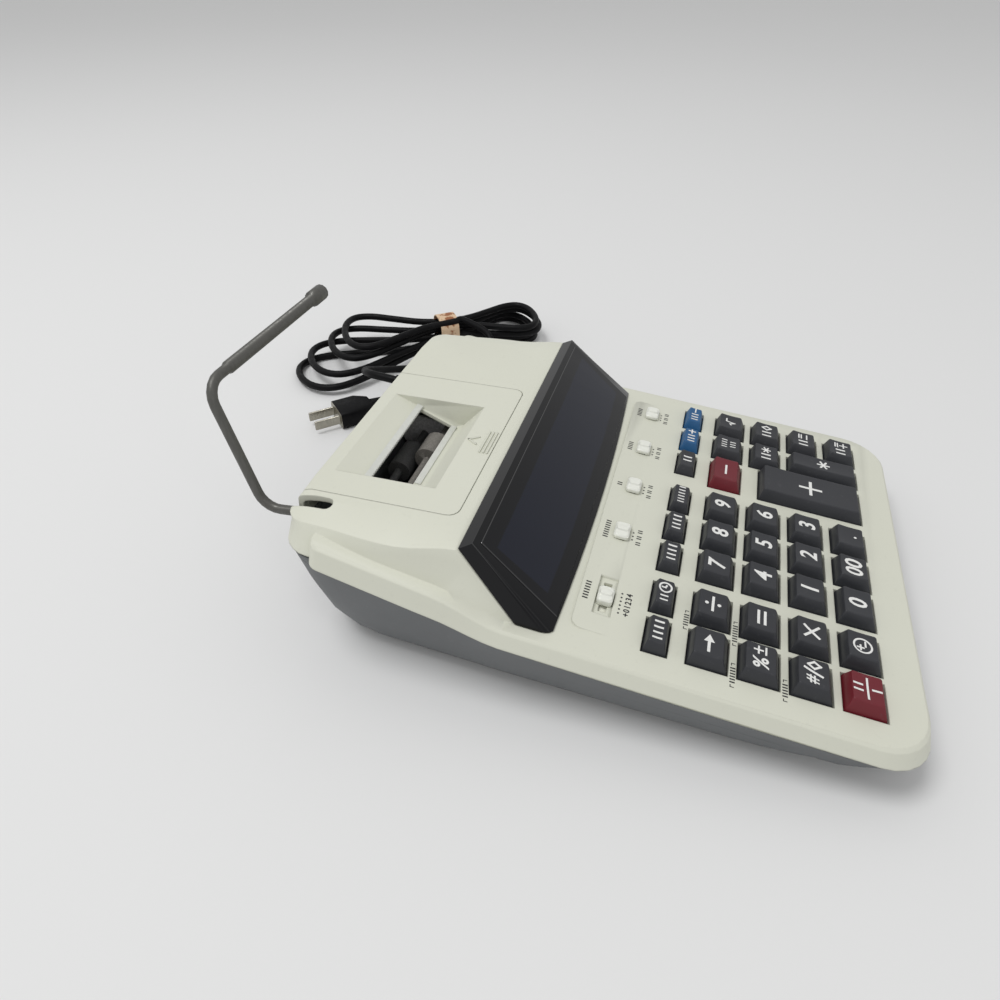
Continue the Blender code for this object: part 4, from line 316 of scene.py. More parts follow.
def knobPlastic():
    finish = Finish("milkyPlastic", (0.86, 0.87, 0.8), 0.3)
    finish.set("Subsurface Weight", 0.35)
    finish.set("Subsurface Radius", (0.003, 0.003, 0.003))
    finish.set("Transmission Weight", 0.1)
    grain = finish.noise(finish.place(), 1800, 2)
    finish.set("Normal", finish.bump(grain, 0.00001, 0.3, finish.softEdge(0.0003)))
    return finish.material


def dullMetal(name, colour, roughness, metallic, scale, stretch):
    # drawn or rolled metal: streaks along one axis
    finish = Finish(name, colour, roughness, metallic)
    where = finish.place()
    drawn = finish.add("ShaderNodeMapping", None, {"Vector": where, "Scale": stretch}).outputs[0]
    streaks = finish.noise(drawn, scale, 4)
    darker = tuple(0.72 * part for part in colour)
    finish.set("Base Color", finish.mixed(streaks, colour, darker))
    finish.set("Roughness", finish.between(streaks, 0.3, 0.7, roughness - 0.08, roughness + 0.12))
    finish.set("Normal", finish.bump(streaks, 0.00002, 0.3))
    return finish.material


def rubberOrInk(name, colour, roughness, scale, depth, contrast=0.5):
    finish = Finish(name, colour, roughness)
    pores = finish.noise(finish.place(), scale, 4, 0.7)
    lighter = tuple((1 + contrast) * part + 0.01 * contrast for part in colour)
    finish.set("Base Color", finish.mixed(finish.between(pores, 0.4, 0.7), colour, lighter))
    finish.set("Normal", finish.bump(pores, depth, 0.6))
    return finish.material


def boardFinish():
    finish = Finish("boardLaminate", (0.24, 0.13, 0.05), 0.5)
    where = finish.place()
    weave = finish.noise(where, 600, 2)
    finish.set("Base Color", finish.mixed(weave, (0.22, 0.12, 0.045), (0.3, 0.17, 0.07)))
    finish.set("Normal", finish.bump(weave, 0.00003, 0.4))
    return finish.material


def bandFinish():
    # tan paper tie with brown stains
    finish = Finish("paperBand", (0.68, 0.5, 0.33), 0.75)
    where = finish.place()
    stains = finish.between(finish.noise(where, 130, 3, 0.6), 0.5, 0.58)
    fibres = finish.noise(where, 900, 3)
    plain = finish.mixed(fibres, (0.72, 0.54, 0.37), (0.62, 0.44, 0.28))
    finish.set("Base Color", finish.mixed(stains, plain, (0.3, 0.12, 0.05)))
    finish.set("Normal", finish.bump(fibres, 0.00005, 0.5))
    return finish.material


def cordVinyl():
    # black flex, scuffed, with a slightly uneven skin
    black, scuffed = (0.003, 0.003, 0.0035), (0.008, 0.008, 0.009)
    finish = Finish("cordVinyl", black, 0.5)
    finish.set("Specular IOR Level", 0.14)
    where = finish.place()
    scuff = finish.noise(where, 260, 4, 0.65)
    finish.set("Base Color", finish.mixed(finish.between(scuff, 0.5, 0.75), black, scuffed))
    finish.set("Roughness", finish.between(scuff, 0.35, 0.7, 0.42, 0.62))
    finish.set("Normal", finish.bump(finish.noise(where, 700, 3), 0.00006, 0.5))
    return finish.material


def printInk(name, colour, roughness=0.5):
    finish = Finish(name, colour, roughness)
    wear = finish.noise(finish.place(), 1500, 3)
    duller = tuple(0.86 * part + 0.01 for part in colour)
    finish.set("Base Color", finish.mixed(finish.between(wear, 0.45, 0.7), colour, duller))
    return finish.material


bezelFinish = bezelPlastic("polishedBezel", (0.003, 0.0032, 0.0042))
edgeFinish = edgePlastic()
plateFinish = bezelPlastic("smokedPlate", (0.0018, 0.002, 0.0035))
knobFinish = knobPlastic()
armFinish = dullMetal("armWire", (0.13, 0.128, 0.118), 0.4, 0.55, 900, (1, 1, 0.15))
motorFinish = dullMetal("motorCan", (0.5, 0.5, 0.49), 0.35, 1.0, 700, (0.1, 1, 1))
coreFinish = dullMetal("coreSteel", (0.2, 0.2, 0.2), 0.45, 0.8, 1600, (1, 1, 0.05))
frameFinish = rubberOrInk("printerPlastic", (0.38, 0.375, 0.38), 0.5, 900, 0.00002)
rollerFinish = rubberOrInk("rollerRubber", (0.07, 0.07, 0.07), 0.75, 1500, 0.00005)
inkFinish = rubberOrInk("inkFoam", (0.16, 0.15, 0.135), 0.8, 1300, 0.00012)
gearFinish = rubberOrInk("gearNylon", (0.62, 0.62, 0.58), 0.45, 1200, 0.00001, 0.1)
stripFinish = rubberOrInk("tearStrip", (0.6, 0.61, 0.57), 0.4, 300, 0.00001, 0.08)
# the switch lips' own pale plastic, painted paler still than the ivory as painted light, to lift the shade
# in the narrow slots under the switches
pocketPaintedLightFinish = rubberOrInk("pocketPlasticPaintedLight", (0.8, 0.8, 0.7), 0.6, 900, 0.00001, 0.05)
bladeFinish = dullMetal("bladeBrass", (0.42, 0.4, 0.34), 0.32, 1.0, 500, (1, 1, 0.2))
boardMaterial = boardFinish()
bandMaterial = bandFinish()
cordMaterial = cordVinyl()
whiteInk = printInk("whiteInk", (0.78, 0.78, 0.76))
blackInk = printInk("blackInk", (0.02, 0.02, 0.022))
print("materials made")

# Cords: the free stretch, the tied hank and the run to the plug are one flex
flex = {
    "diameter": 5.0,
    "low": 2.52,
    "relief": (72.0, 171.151, -14.0, 20.0),
    "plug": (103.6, 160.8, 136.0),
    "plugMiddle": 6.0,
    "gap": 0.3,
    "hank": (201.5, 150.0),
    "reach": 133.5,
    "reachLoss": 14.0,
    "backReach": 72.4,
    "lobe": 68.0,
    "backLobe": 50.0,
    "waist": 2.95,
    "step": 5.9,
    "layer": 5.75,
    "climbShare": 0.34,
    "turns": 4,
    "turnPoints": 24,
    "axis": 138.0,
    "fan": -5.0,
    "steps": 4,
}
reliefRoute = [
    (75.0, 155.0, 43.0),
    (87.0, 165.0, 37.5),
    (104.0, 166.0, 29.0),
    (122.0, 157.5, 21.5),
    (140.0, 143.5, 15.5),
    (157.0, 127.0, 11.0),
    (173.0, 115.5, 9.5),
    (188.0, 112.5, 13.0),
    (197.5, 119.0, 19.5),
]
plugRoute = [
    (114.5, 150.3, 5.0),
    (124.0, 144.5, 3.0),
    (137.0, 143.0, 2.6),
    (152.0, 147.0, 2.6),
    (167.0, 153.0, 2.6),
    (181.0, 154.5, 2.6),
]


def hankPoint(turn):
    # one point of the tied hank, counted in turns from its start on the table
    inward = abs((turn + 1) % 2 - 1)
    angle = 0.5 * pi + 2 * pi * turn
    ahead = cos(angle) > 0
    reach = flex["reach"] - flex["reachLoss"] * turn if ahead else flex["backReach"]
    lobe = flex["lobe"] if ahead else flex["backLobe"]
    along = (reach - flex["step"] * inward) * cos(angle)
    across = sin(angle) * (flex["waist"] + flex["step"] * (1 - inward) + lobe * cos(angle) ** 2)
    climbs = 0.0
    for reversal in range(1, flex["turns"] + 1):
        climbs += min(max((turn - reversal) / flex["climbShare"] + 1, 0), 1)
    fan = radians(flex["axis"] + flex["fan"] * turn)
    x = flex["hank"][0] + along * cos(fan) - across * sin(fan)
    y = flex["hank"][1] + along * sin(fan) + across * cos(fan)
    return Vector((x, y, flex["low"] + flex["layer"] * climbs)) * mm


def throughPoints(points, steps):
    # a smooth line through the points, with even steps between each two
    padded = [2 * points[0] - points[1]] + points + [2 * points[-1] - points[-2]]
    line = []
    for index in range(1, len(padded) - 2):
        p0, p1, p2, p3 = padded[index - 1 : index + 3]
        for step in range(steps):
            t = step / steps
            bend = 2 * p0 - 5 * p1 + 4 * p2 - p3
            line.append(0.5 * (2 * p1 + (p2 - p0) * t + bend * t * t + (3 * p1 - p0 - 3 * p2 + p3) * t**3))
    line.append(points[-1])
    return line


def flexPoints():
    thick = flex["diameter"] * mm
    x, y, z, length = flex["relief"]
    exitPoint = deckMatrix @ (Vector((x, y + length + flex["gap"], z)) * mm)
    rearward = deckTurn.to_3x3() @ Vector((0, 1, 0))
    out = [exitPoint, exitPoint + rearward * thick] + [Vector(point) * mm for point in reliefRoute]
    count = flex["turns"] * flex["turnPoints"]
    loops = [hankPoint(index / flex["turnPoints"]) for index in range(count + 1)]
    lastRun = (loops[-1] - loops[-2]).normalized()
    out += [loops[-1] + lastRun * 2 * thick, loops[-1] + lastRun * thick]
    plugX, plugY, plugAngle = flex["plug"]
    away = Vector((-cos(radians(plugAngle)), -sin(radians(plugAngle)), 0))
    plugEnd = Vector((plugX, plugY, flex["plugMiddle"])) * mm + away * flex["gap"] * mm
    back = [plugEnd, plugEnd + away * thick] + [Vector(point) * mm for point in plugRoute]
    return exitPoint, throughPoints(out + loops[::-1] + back[::-1], flex["steps"])


def addFlex():
    exitPoint, points = flexPoints()
    curve = bpy.data.curves.new("mainsFlex", "CURVE")
    curve.dimensions = "3D"
    curve.bevel_depth = 0.5 * flex["diameter"] * mm
    curve.bevel_resolution = 4
    curve.use_fill_caps = True
    spline = curve.splines.new("POLY")
    spline.points.add(len(points) - 1)
    for slot, point in zip(spline.points, points):
        slot.co = (*point, 1)
    spline.use_smooth = True
    curve.materials.append(cordMaterial)
    piece = bpy.data.objects.new("mainsFlex", curve)
    bpy.context.scene.collection.objects.link(piece)
    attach(piece, "housing")
    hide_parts("power_cord", "cord_hank")
    length = sum((after - before).length for before, after in zip(points, points[1:]))
    print("flex laid:", round(length, 3), "m")


addFlex()
band = {
    "along": (-4.0, 10.0),
    "across": (-9.1, 12.1),
    "upright": (0.3, 28.6),
    "corner": 8.5,
    "segments": 7,
    "thick": 0.7,
    "turn": 128.0,
}


def boxWork(spans):
    # a box over three spans, each from low to high
    work = bmesh.new()
    bmesh.ops.create_cube(work, size=1.0)
    for vert in work.verts:
        vert.co = [low if value < 0 else high for value, (low, high) in zip(vert.co, spans)]
    return work


def addBand():
    # a paper tie over the middle of the hank, open on the table
    work = boxWork((band["along"], band["across"], band["upright"]))
    work.normal_update()
    ends = [face for face in work.faces if abs(face.normal.x) > 0.5 or face.normal.z < -0.5]
    bmesh.ops.delete(work, geom=ends, context="FACES")
    roundEdges(work, [edge for edge in work.edges if edge.is_manifold], band["corner"], band["segments"])
    bmesh.ops.solidify(work, geom=work.faces[:], thickness=band["thick"])
    spot = Matrix.Translation((*flex["hank"], 0)) @ Matrix.Rotation(radians(band["turn"]), 4, "Z")
    bmesh.ops.transform(work, matrix=Matrix.Scale(mm, 4) @ spot, verts=work.verts)
    bmesh.ops.recalc_face_normals(work, faces=work.faces)
    addPiece("hankBand", shaded(work, "hankBand", 40.0), bandMaterial, "housing")


# Rigid nodes: the frame's own loose triangles are merged, smoothed and given their finish
merging = {"weld": 0.00001, "sliver": 0.00003, "flat": 0.6}


def mergedCopy(node):
    work = bmesh.new()
    work.from_mesh(nodes[node].data)
    bmesh.ops.remove_doubles(work, verts=work.verts, dist=merging["weld"])
    bmesh.ops.dissolve_degenerate(work, dist=merging["sliver"], edges=work.edges)
    flat = radians(merging["flat"])
    bmesh.ops.dissolve_limit(work, angle_limit=flat, verts=work.verts, edges=work.edges)
    return work


def cutBy(work, point, normal, clear=True):
    # cuts by a plane, and takes away what lies beyond it unless clear is False
    cut = {"plane_co": point, "plane_no": normal, "clear_outer": clear}
    bmesh.ops.bisect_plane(work, geom=work.verts[:] + work.edges[:] + work.faces[:], **cut)


def roundEdges(work, edges, size, segments=2):
    shape = {"offset_type": "OFFSET", "segments": segments, "profile": 0.5, "affect": "EDGES"}
    return bmesh.ops.bevel(work, geom=edges, offset=size, material=-1, clamp_overlap=True, **shape)["faces"]


def sharpEdges(work, angle):
    return [edge for edge in work.edges if edge.is_manifold and edge.calc_face_angle() > radians(angle)]


def shaded(work, name, smooth):
    mesh = meshFrom(work, name)
    mesh.shade_smooth()
    mesh.set_sharp_from_angle(angle=radians(smooth))
    return mesh


def dressed(node, material, bevel=0.0, angle=28.0, smooth=32.0, other=None, isOther=None, isRound=None):
    # other is a second finish, for the faces whose middle isOther picks; isRound picks the edges to bevel
    work = mergedCopy(node)
    if bevel:
        edges = [edge for edge in sharpEdges(work, angle) if not isRound or isRound(edge)]
        roundEdges(work, edges, bevel, 3 if isRound else 2)
    if other:
        for face in work.faces:
            face.material_index = 1 if isOther(face.calc_center_median()) else 0
    name = node + "Dressed"
    piece = addPiece(name, shaded(work, name, smooth), material, nodes[node]["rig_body"], (node,))
    if other:
        piece.data.materials.append(other)
    return piece


addBand()
fromDeck = deckMatrix.inverted()
blades = {"start": 0.0358, "along": (-0.71934, 0.69466)}
bezelEdge = {"angle": 38, "size": 0.00055}
shoulder = {"side": 86, "front": 97, "rear": 168, "lean": 8, "level": 0.9, "slope": 0.6}
pocketFloor = -0.0022


def onBlades(point):
    x, y = flex["plug"][:2]
    ahead = (point.x - x * mm) * blades["along"][0] + (point.y - y * mm) * blades["along"][1]
    return ahead > blades["start"]


def underDeck(point):
    return (fromDeck @ point).z < pocketFloor


def polishEdges(work, angle, size):
    # narrow flat chamfers in the second finish
    for face in roundEdges(work, sharpEdges(work, angle), size, 1):
        face.material_index = 1


def addBezel():
    work = mergedCopy("display_bezel")
    polishEdges(work, bezelEdge["angle"], bezelEdge["size"])
    mesh = shaded(work, "display_bezelDressed", 20.0)
    body = nodes["display_bezel"]["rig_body"]
    piece = addPiece("display_bezelDressed", mesh, bezelFinish, body, ("display_bezel",))
    piece.data.materials.append(edgeFinish)


def onShoulder(edge):
    # the long edges where the housing's top turns down to its sides
    ends = [(fromDeck @ vert.co) / mm for vert in edge.verts]
    middle = 0.5 * (ends[0] + ends[1])
    lean = abs(ends[1].x - ends[0].x) + abs(ends[1].z - ends[0].z)
    tops = [deckUp.dot(face.normal) for face in edge.link_faces]
    beside = abs(middle.x) > shoulder["side"] and shoulder["front"] < middle.y < shoulder["rear"]
    turned = max(tops) > shoulder["level"] and 0 < min(tops) < shoulder["slope"]
    return beside and lean < shoulder["lean"] and turned


upperCase = dressed("upper_case", ivory, 0.001, 25.0, 30.0, isRound=onShoulder)
printerCover = dressed("printer_cover", ivory, smooth=19.0)
dressed("lower_case", grey, smooth=24.0)
addBezel()
dressed("paper_arm", armFinish, smooth=60.0)
dressed("tear_bar", stripFinish)
dressed("strain_relief", cordMaterial, 0.0004)
dressed("plug", cordMaterial, 0.0006, other=bladeFinish, isOther=onBlades)
for node, material in {
    "printer_frame": frameFinish,
    "feed_roller": rollerFinish,
    "print_wheel": frameFinish,
    "ink_roller": inkFinish,
    "printer_motor": motorFinish,
    "motor_pinion": gearFinish,
    "circuit_board": boardMaterial,
    "transformer": coreFinish,
}.items():
    dressed(node, material)

# Front plate of the display: the bezel's face cut to the plate's outline and lifted
plate = {
    "toe": (89.3, 53.2, 1.0),
    "top": (86.6, 88.0, 27.6),
    "proud": 0.5,
    "thick": 0.8,
    "edge": 0.35,
    "angle": 50,
}


def offPlate(face):
    # not on the bezel's sloping front
    return face.normal.y > -0.3 or face.normal.z < 0.3 or abs(face.normal.x) > 0.4


def addPlate():
    work = mergedCopy("display_bezel")
    bmesh.ops.transform(work, matrix=Matrix.Scale(1 / mm, 4) @ fromDeck, verts=work.verts)
    work.normal_update()
    bmesh.ops.delete(work, geom=[face for face in work.faces if offPlate(face)], context="FACES")
    toe, top = Vector(plate["toe"]), Vector(plate["top"])
    up = Vector((0, top.y - toe.y, top.z - toe.z)).normalized()
    out = Vector((0, -up.z, up.y))
    for side in (-1, 1):
        mirrored = Vector((side, 1, 1))
        edge = (top - toe) * mirrored
        cutBy(work, toe * mirrored, edge.cross(out) * side)
    cutBy(work, top, up)
    cutBy(work, toe, -up)
    bmesh.ops.translate(work, verts=work.verts, vec=out * plate["proud"])
    bmesh.ops.solidify(work, geom=work.faces[:], thickness=plate["thick"])
    bmesh.ops.recalc_face_normals(work, faces=work.faces)
    polishEdges(work, plate["angle"], plate["edge"])
    bmesh.ops.transform(work, matrix=deckMatrix @ Matrix.Scale(mm, 4), verts=work.verts)
    mesh = shaded(work, "displayPlate", 20.0)
    piece = addPiece("displayPlate", mesh, plateFinish, nodes["display_bezel"]["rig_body"])
    piece.data.materials.append(edgeFinish)


addPlate()


# Key caps: the frame's stem and lips below the deck, a moulded cap with a hollow top above it
keyCap = {
    "foot": -1.5,
    "skirt": 0.8,
    "near": 0.1,
    "topBand": 1.1,
    "lean": 0.5,  # the top leans down to the front
    "upright": 0.9,
    "rim": 0.4,
    "inset": 1.0,
    "cuts": 7,
    "hollow": 0.75,
    "reach": 1.4,
}


def addKeyCap(node, material):
    points = [(fromDeck @ vert.co) / mm for vert in nodes[node].data.vertices]
    height = max(point.z for point in points)
    skirt = [point for point in points if abs(point.z - keyCap["skirt"]) < keyCap["near"]]
    top = [point for point in points if point.z > height - keyCap["topBand"]]
    base = [f(point[axis] for point in skirt) for axis in (0, 1) for f in (min, max)]
    rim = [f(point[axis] for point in top) for axis in (0, 1) for f in (min, max)]
    cap = bmesh.new()
    bmesh.ops.create_cube(cap, size=2.0)
    for vert in cap.verts:
        left, front, low = (value < 0 for value in vert.co)
        x0, x1, y0, y1 = base if low else rim
        z = keyCap["foot"] if low else height - (keyCap["lean"] if front else 0)
        vert.co = (x0 if left else x1, y0 if front else y1, z)
    cutBy(cap, (0, 0, keyCap["skirt"]), (0, 0, 1), False)
    for vert in cap.verts:
        if abs(vert.co.z - keyCap["skirt"]) < 0.01:
            left = vert.co.x < 0.5 * (base[0] + base[1])
            front = vert.co.y < 0.5 * (base[2] + base[3])
            vert.co = (base[0] if left else base[1], base[2] if front else base[3], keyCap["skirt"])
    upright = [edge for edge in cap.edges if abs(edge.verts[0].co.z - edge.verts[1].co.z) > 1]
    roundEdges(cap, upright, keyCap["upright"], 3)
    crown = max(cap.faces, key=lambda face: face.calc_center_median().z)
    roundEdges(cap, list(crown.edges), keyCap["rim"], 2)
    for axis in (0, 1):
        low, high = rim[2 * axis] + keyCap["inset"], rim[2 * axis + 1] - keyCap["inset"]
        normal = Vector((1 - axis, axis, 0))
        for cut in range(keyCap["cuts"] + 1):
            cutBy(cap, normal * (low + (high - low) * cut / keyCap["cuts"]), normal, False)
    middle = [0.5 * (rim[0] + rim[1]), 0.5 * (rim[2] + rim[3])]
    half = [0.5 * (rim[1] - rim[0]), 0.5 * (rim[3] - rim[2])]
    for vert in cap.verts:
        share = min(max((vert.co.z - height + keyCap["reach"]) / keyCap["reach"], 0), 1)
        a, b = [min(abs(vert.co[axis] - middle[axis]) / half[axis], 1) for axis in (0, 1)]
        vert.co.z -= keyCap["hollow"] * share * (1 - 0.5 * (a * a + b * b))
    bmesh.ops.transform(cap, matrix=deckMatrix @ Matrix.Scale(mm, 4), verts=cap.verts)
    bmesh.ops.recalc_face_normals(cap, faces=cap.faces)
    stem = mergedCopy(node)
    cutBy(stem, deckMatrix @ Vector((0, 0, keyCap["foot"] * mm)), deckUp)
    bmesh.ops.holes_fill(stem, edges=[edge for edge in stem.edges if edge.is_boundary])
    mesh = shaded(gather([stem, cap]), node + "Cap", 30.0)
    return addPiece(node + "Cap", mesh, material, node, (node,))


keyTones = {"key_clear": "red", "key_minus": "red", "key_tax_plus": "blue", "key_tax_minus": "blue"}
keyPieces = {}
for node in sorted(nodes):
    if node.startswith("key_"):
        keyPieces[node] = addKeyCap(node, keyFinish[keyTones.get(node, "dark")])
    if node.startswith("switch_"):
        # knob faces below the pocket floor take the pale lip finish with its painted light
        dressed(node, knobFinish, 0.0011, 35.0, 60.0, pocketPaintedLightFinish, underDeck)
print("rigid nodes dressed")

# Legends: digits, signs and plain strokes, laid on the surface under them
legend = {
    "lift": 0.05,
    "above": 0.06,
    "longest": 2.2,
    "topBand": 0.0012,
    "thick": 0.15,
    "least": 5.0,
    "slant": 0.1,
    "digit": 10.5,
    "weight": 0.022,
    "rule": 0.8,
    "word": 0.24,
    "pitch": 1.44,
    "half": 0.76,
}
segments = {"bar": 6, "dot": 14, "wedge": 3, "ring": 28}

signs = {
    "plus": [("bar", -1, 0, 1, 0), ("bar", 0, -1, 0, 1)],
    "minus": [("bar", -1, 0, 1, 0)],
    "times": [("bar", -0.75, -0.75, 0.75, 0.75), ("bar", -0.75, 0.75, 0.75, -0.75)],
    "divide": [("bar", -1, 0, 1, 0), ("dot", 0, 0.7, 0.22), ("dot", 0, -0.7, 0.22)],
    "equals": [("bar", -0.9, 0.36, 0.9, 0.36), ("bar", -0.9, -0.36, 0.9, -0.36)],
    "point": [("dot", 0, -0.5, 0.26)],
    "arrow": [("bar", -1, 0, 0.3, 0), ("wedge", 0.5, 0, 0.62)],
    "root": [
        ("bar", -1, -0.1, -0.6, 0.1),
        ("bar", -0.6, 0.1, -0.2, -0.85),
        ("bar", -0.2, -0.85, 0.2, 0.85),
        ("bar", 0.2, 0.85, 1.1, 0.85),
    ],
    "star": [("bar", 0, -0.8, 0, 0.8), ("bar", -0.7, -0.4, 0.7, 0.4), ("bar", -0.7, 0.4, 0.7, -0.4)],
    "lozenge": [
        ("bar", -0.55, 0, 0, 0.8),
        ("bar", 0, 0.8, 0.55, 0),
        ("bar", 0.55, 0, 0, -0.8),
        ("bar", 0, -0.8, -0.55, 0),
    ],
    "slash": [("bar", -0.4, -0.95, 0.4, 0.95)],
    "ring": [("ring", 0, 0, 0.85)],
    "clock": [("ring", 0, 0, 0.8), ("bar", 0, 0, 0, 0.5), ("bar", 0, 0, 0.4, -0.15)],
}


def strokes(count):
    # plain upright strokes where the real key has a word, one unit tall
    places = [0.5 * legend["pitch"] * (2 * index - count + 1) for index in range(count)]
    return [("bar", place, -legend["half"], place, legend["half"]) for place in places]


def addBar(work, x0, y0, x1, y1, width):
    length = ((x1 - x0) ** 2 + (y1 - y0) ** 2) ** 0.5
    made = bmesh.ops.create_grid(work, x_segments=segments["bar"], y_segments=1, size=0.5)
    turn = Matrix.Rotation(atan2(y1 - y0, x1 - x0), 4, "Z")
    middle = Matrix.Translation((0.5 * (x0 + x1), 0.5 * (y0 + y1), 0))
    sized = Matrix.Diagonal((length + width, width, 1, 1))
    bmesh.ops.transform(work, matrix=middle @ turn @ sized, verts=made["verts"])


def addDot(work, x, y, radius):
    spot = Matrix.Translation((x, y, 0))
    bmesh.ops.create_circle(work, cap_ends=True, segments=segments["dot"], radius=radius, matrix=spot)


def addWedge(work, x, y, radius):
    spot = Matrix.Translation((x, y, 0)) @ Matrix.Rotation(radians(-90), 4, "Z")
    bmesh.ops.create_circle(work, cap_ends=True, segments=segments["wedge"], radius=radius, matrix=spot)


def addRing(work, x, y, radius, width):
    spot = Matrix.Translation((x, y, 0))
    made = bmesh.ops.create_circle(work, segments=segments["ring"], radius=radius, matrix=spot)
    edges = list({edge for vert in made["verts"] for edge in vert.link_edges})
    grown = bmesh.ops.extrude_edge_only(work, edges=edges)["geom"]
    outer = [part for part in grown if isinstance(part, bmesh.types.BMVert)]
    bigger = spot @ Matrix.Scale((radius + width) / radius, 4) @ spot.inverted()
    bmesh.ops.transform(work, matrix=bigger, verts=outer)


def signMesh(parts, size, width):
    # a flat sign of bars, dots, wedges and rings, sized in millimetres
    work = bmesh.new()
    for part in parts:
        numbers = [0.5 * size * value for value in part[1:]]
        if part[0] == "bar":
            addBar(work, *numbers, width)
        elif part[0] == "dot":
            addDot(work, *numbers)
        elif part[0] == "wedge":
            addWedge(work, *numbers)
        else:
            addRing(work, *numbers, width)
    return work


def textMesh(words, size, weight, slant):
    curve = bpy.data.curves.new("words", "FONT")
    curve.body = words
    curve.size = size
    curve.offset = weight * size
    curve.shear = slant
    curve.align_x = "CENTER"
    curve.align_y = "CENTER"
    curve.resolution_u = 3
    words = bpy.data.objects.new("words", curve)
    bpy.context.scene.collection.objects.link(words)
    bpy.context.view_layer.update()
    graph = bpy.context.evaluated_depsgraph_get()
    mesh = bpy.data.meshes.new_from_object(words.evaluated_get(graph))
    bpy.data.objects.remove(words)
    work = bmesh.new()
    work.from_mesh(mesh)
    bpy.data.meshes.remove(mesh)
    spans = [[vert.co[axis] for vert in work.verts] for axis in (0, 1)]
    middle = [0.5 * (min(span) + max(span)) for span in spans]
    bmesh.ops.translate(work, verts=work.verts, vec=(-middle[0], -middle[1], 0))
    return work


def surfaceOf(piece):
    bpy.context.view_layer.update()
    return BVHTree.FromObject(piece, bpy.context.evaluated_depsgraph_get())


def longEdges(work):
    return [edge for edge in work.edges if edge.calc_length() > legend["longest"] * mm]


def layOn(work, tree, x, y):
    # drops a flat sign, drawn in millimetres, on the surface below it, square to the deck
    shift = Matrix.Translation((x, y, 0))
    bmesh.ops.transform(work, matrix=Matrix.Scale(mm, 4) @ shift, verts=work.verts)
    if longEdges(work):
        bmesh.ops.triangulate(work, faces=[face for face in work.faces if len(face.verts) > 4])
        bmesh.ops.subdivide_edges(work, edges=longEdges(work), cuts=2, use_grid_fill=True)
    for vert in work.verts:
        above = deckMatrix @ Vector((vert.co.x, vert.co.y, legend["above"]))
        place = tree.ray_cast(above, -deckUp)[0]
        vert.co = (place if place else deckMatrix @ vert.co) + deckUp * legend["lift"] * mm
    bmesh.ops.recalc_face_normals(work, faces=work.faces)
    if sum((face.normal * face.calc_area() for face in work.faces), Vector()).dot(deckUp) < 0:
        bmesh.ops.reverse_faces(work, faces=work.faces)


# What each key shows: kind, what, place from the key's middle in mm, size in mm
keyLegends = {
    "key_divide": [("sign", "divide", 0, 0, 7.4)],
    "key_multiply": [("sign", "times", 0, 0, 7.4)],
    "key_equals": [("sign", "equals", 0, 0, 7.4)],
    "key_minus": [("sign", "minus", 0, 0, 7.0)],
    "key_plus": [("sign", "plus", 0, 0, 10.0)],
    "key_total": [("sign", "star", 0, 0, 7.0)],
    "key_percent": [
        ("text", "%", -2.3, 0, 8.4),
        ("sign", "plus", 3.8, 0.9, 3.2),
        ("sign", "minus", 3.8, -2.0, 3.2),
    ],
    "key_backspace": [("sign", "arrow", 0, 0, 8.0)],
    "key_subtotal": [
        ("text", "#", -3.0, 0.4, 6.4),
        ("sign", "slash", 0.6, 0, 6.8),
        ("sign", "lozenge", 3.9, -0.4, 6.0),
    ],
    "key_clear": [
        ("strokes", 2, 0, 3.5, 3.8),
        ("rule", "minus", 0, 0, 9.4),
        ("strokes", 1, 0, -3.5, 3.8),
    ],
    "key_sign_change": [
        ("rule", "ring", 0, 0, 7.4),
        ("sign", "plus", -1.0, 0.9, 2.4),
        ("sign", "minus", 1.1, -1.1, 2.4),
    ],
    "key_square_root": [("sign", "root", 0, 0, 5.4)],
    "key_time_calculation": [("strokes", 4, 0, 2.3, 3.0), ("strokes", 3, 0, -2.3, 3.0)],
    "key_memory_total": [("strokes", 2, -3.2, 0, 5.0), ("sign", "star", 2.8, 0, 5.2)],
    "key_memory_subtotal": [("strokes", 2, -3.2, 0, 5.0), ("sign", "lozenge", 2.8, 0, 6.0)],
    "key_memory_minus": [
        ("strokes", 2, -3.4, 0, 5.0),
        ("sign", "equals", 2.8, 1.6, 3.6),
        ("sign", "minus", 2.8, -2.0, 3.6),
    ],
    "key_memory_plus": [
        ("strokes", 2, -3.4, 0, 5.0),
        ("sign", "equals", 2.8, 2.0, 3.6),
        ("sign", "plus", 2.8, -1.8, 3.6),
    ],
    "key_paper_feed": [("strokes", 4, 0, 0, 4.0)],
    "key_clock": [("rule", "clock", 2.6, 0, 5.4), ("strokes", 2, -3.4, 0, 3.4)],
    "key_cost": [("strokes", 4, 0, 0, 4.0)],
    "key_sell": [("strokes", 4, 0, 0, 4.0)],
    "key_margin": [("strokes", 6, 0, 0, 3.2)],
    "key_grand_total": [("strokes", 2, 0, 0, 4.4)],
    "key_tax_plus": [("strokes", 3, -1.9, 0, 3.8), ("sign", "plus", 4.7, 0, 3.4)],
    "key_tax_minus": [("strokes", 3, -1.9, 0, 3.8), ("sign", "minus", 4.7, 0, 3.4)],
    "key_decimal_point": [("sign", "point", 0, -1.0, 5.0)],
}
for digit in "0 1 2 3 4 5 6 7 8 9 00".split():
    keyLegends["key_" + digit] = [("text", digit, 0, 0, legend["digit"])]


def deckCentre(node):
    points = [fromDeck @ vert.co for vert in nodes[node].data.vertices]
    height = max(point.z for point in points)
    tops = [point for point in points if point.z > height - legend["topBand"]]
    return [0.5 / mm * (min(p[axis] for p in tops) + max(p[axis] for p in tops)) for axis in (0, 1)]


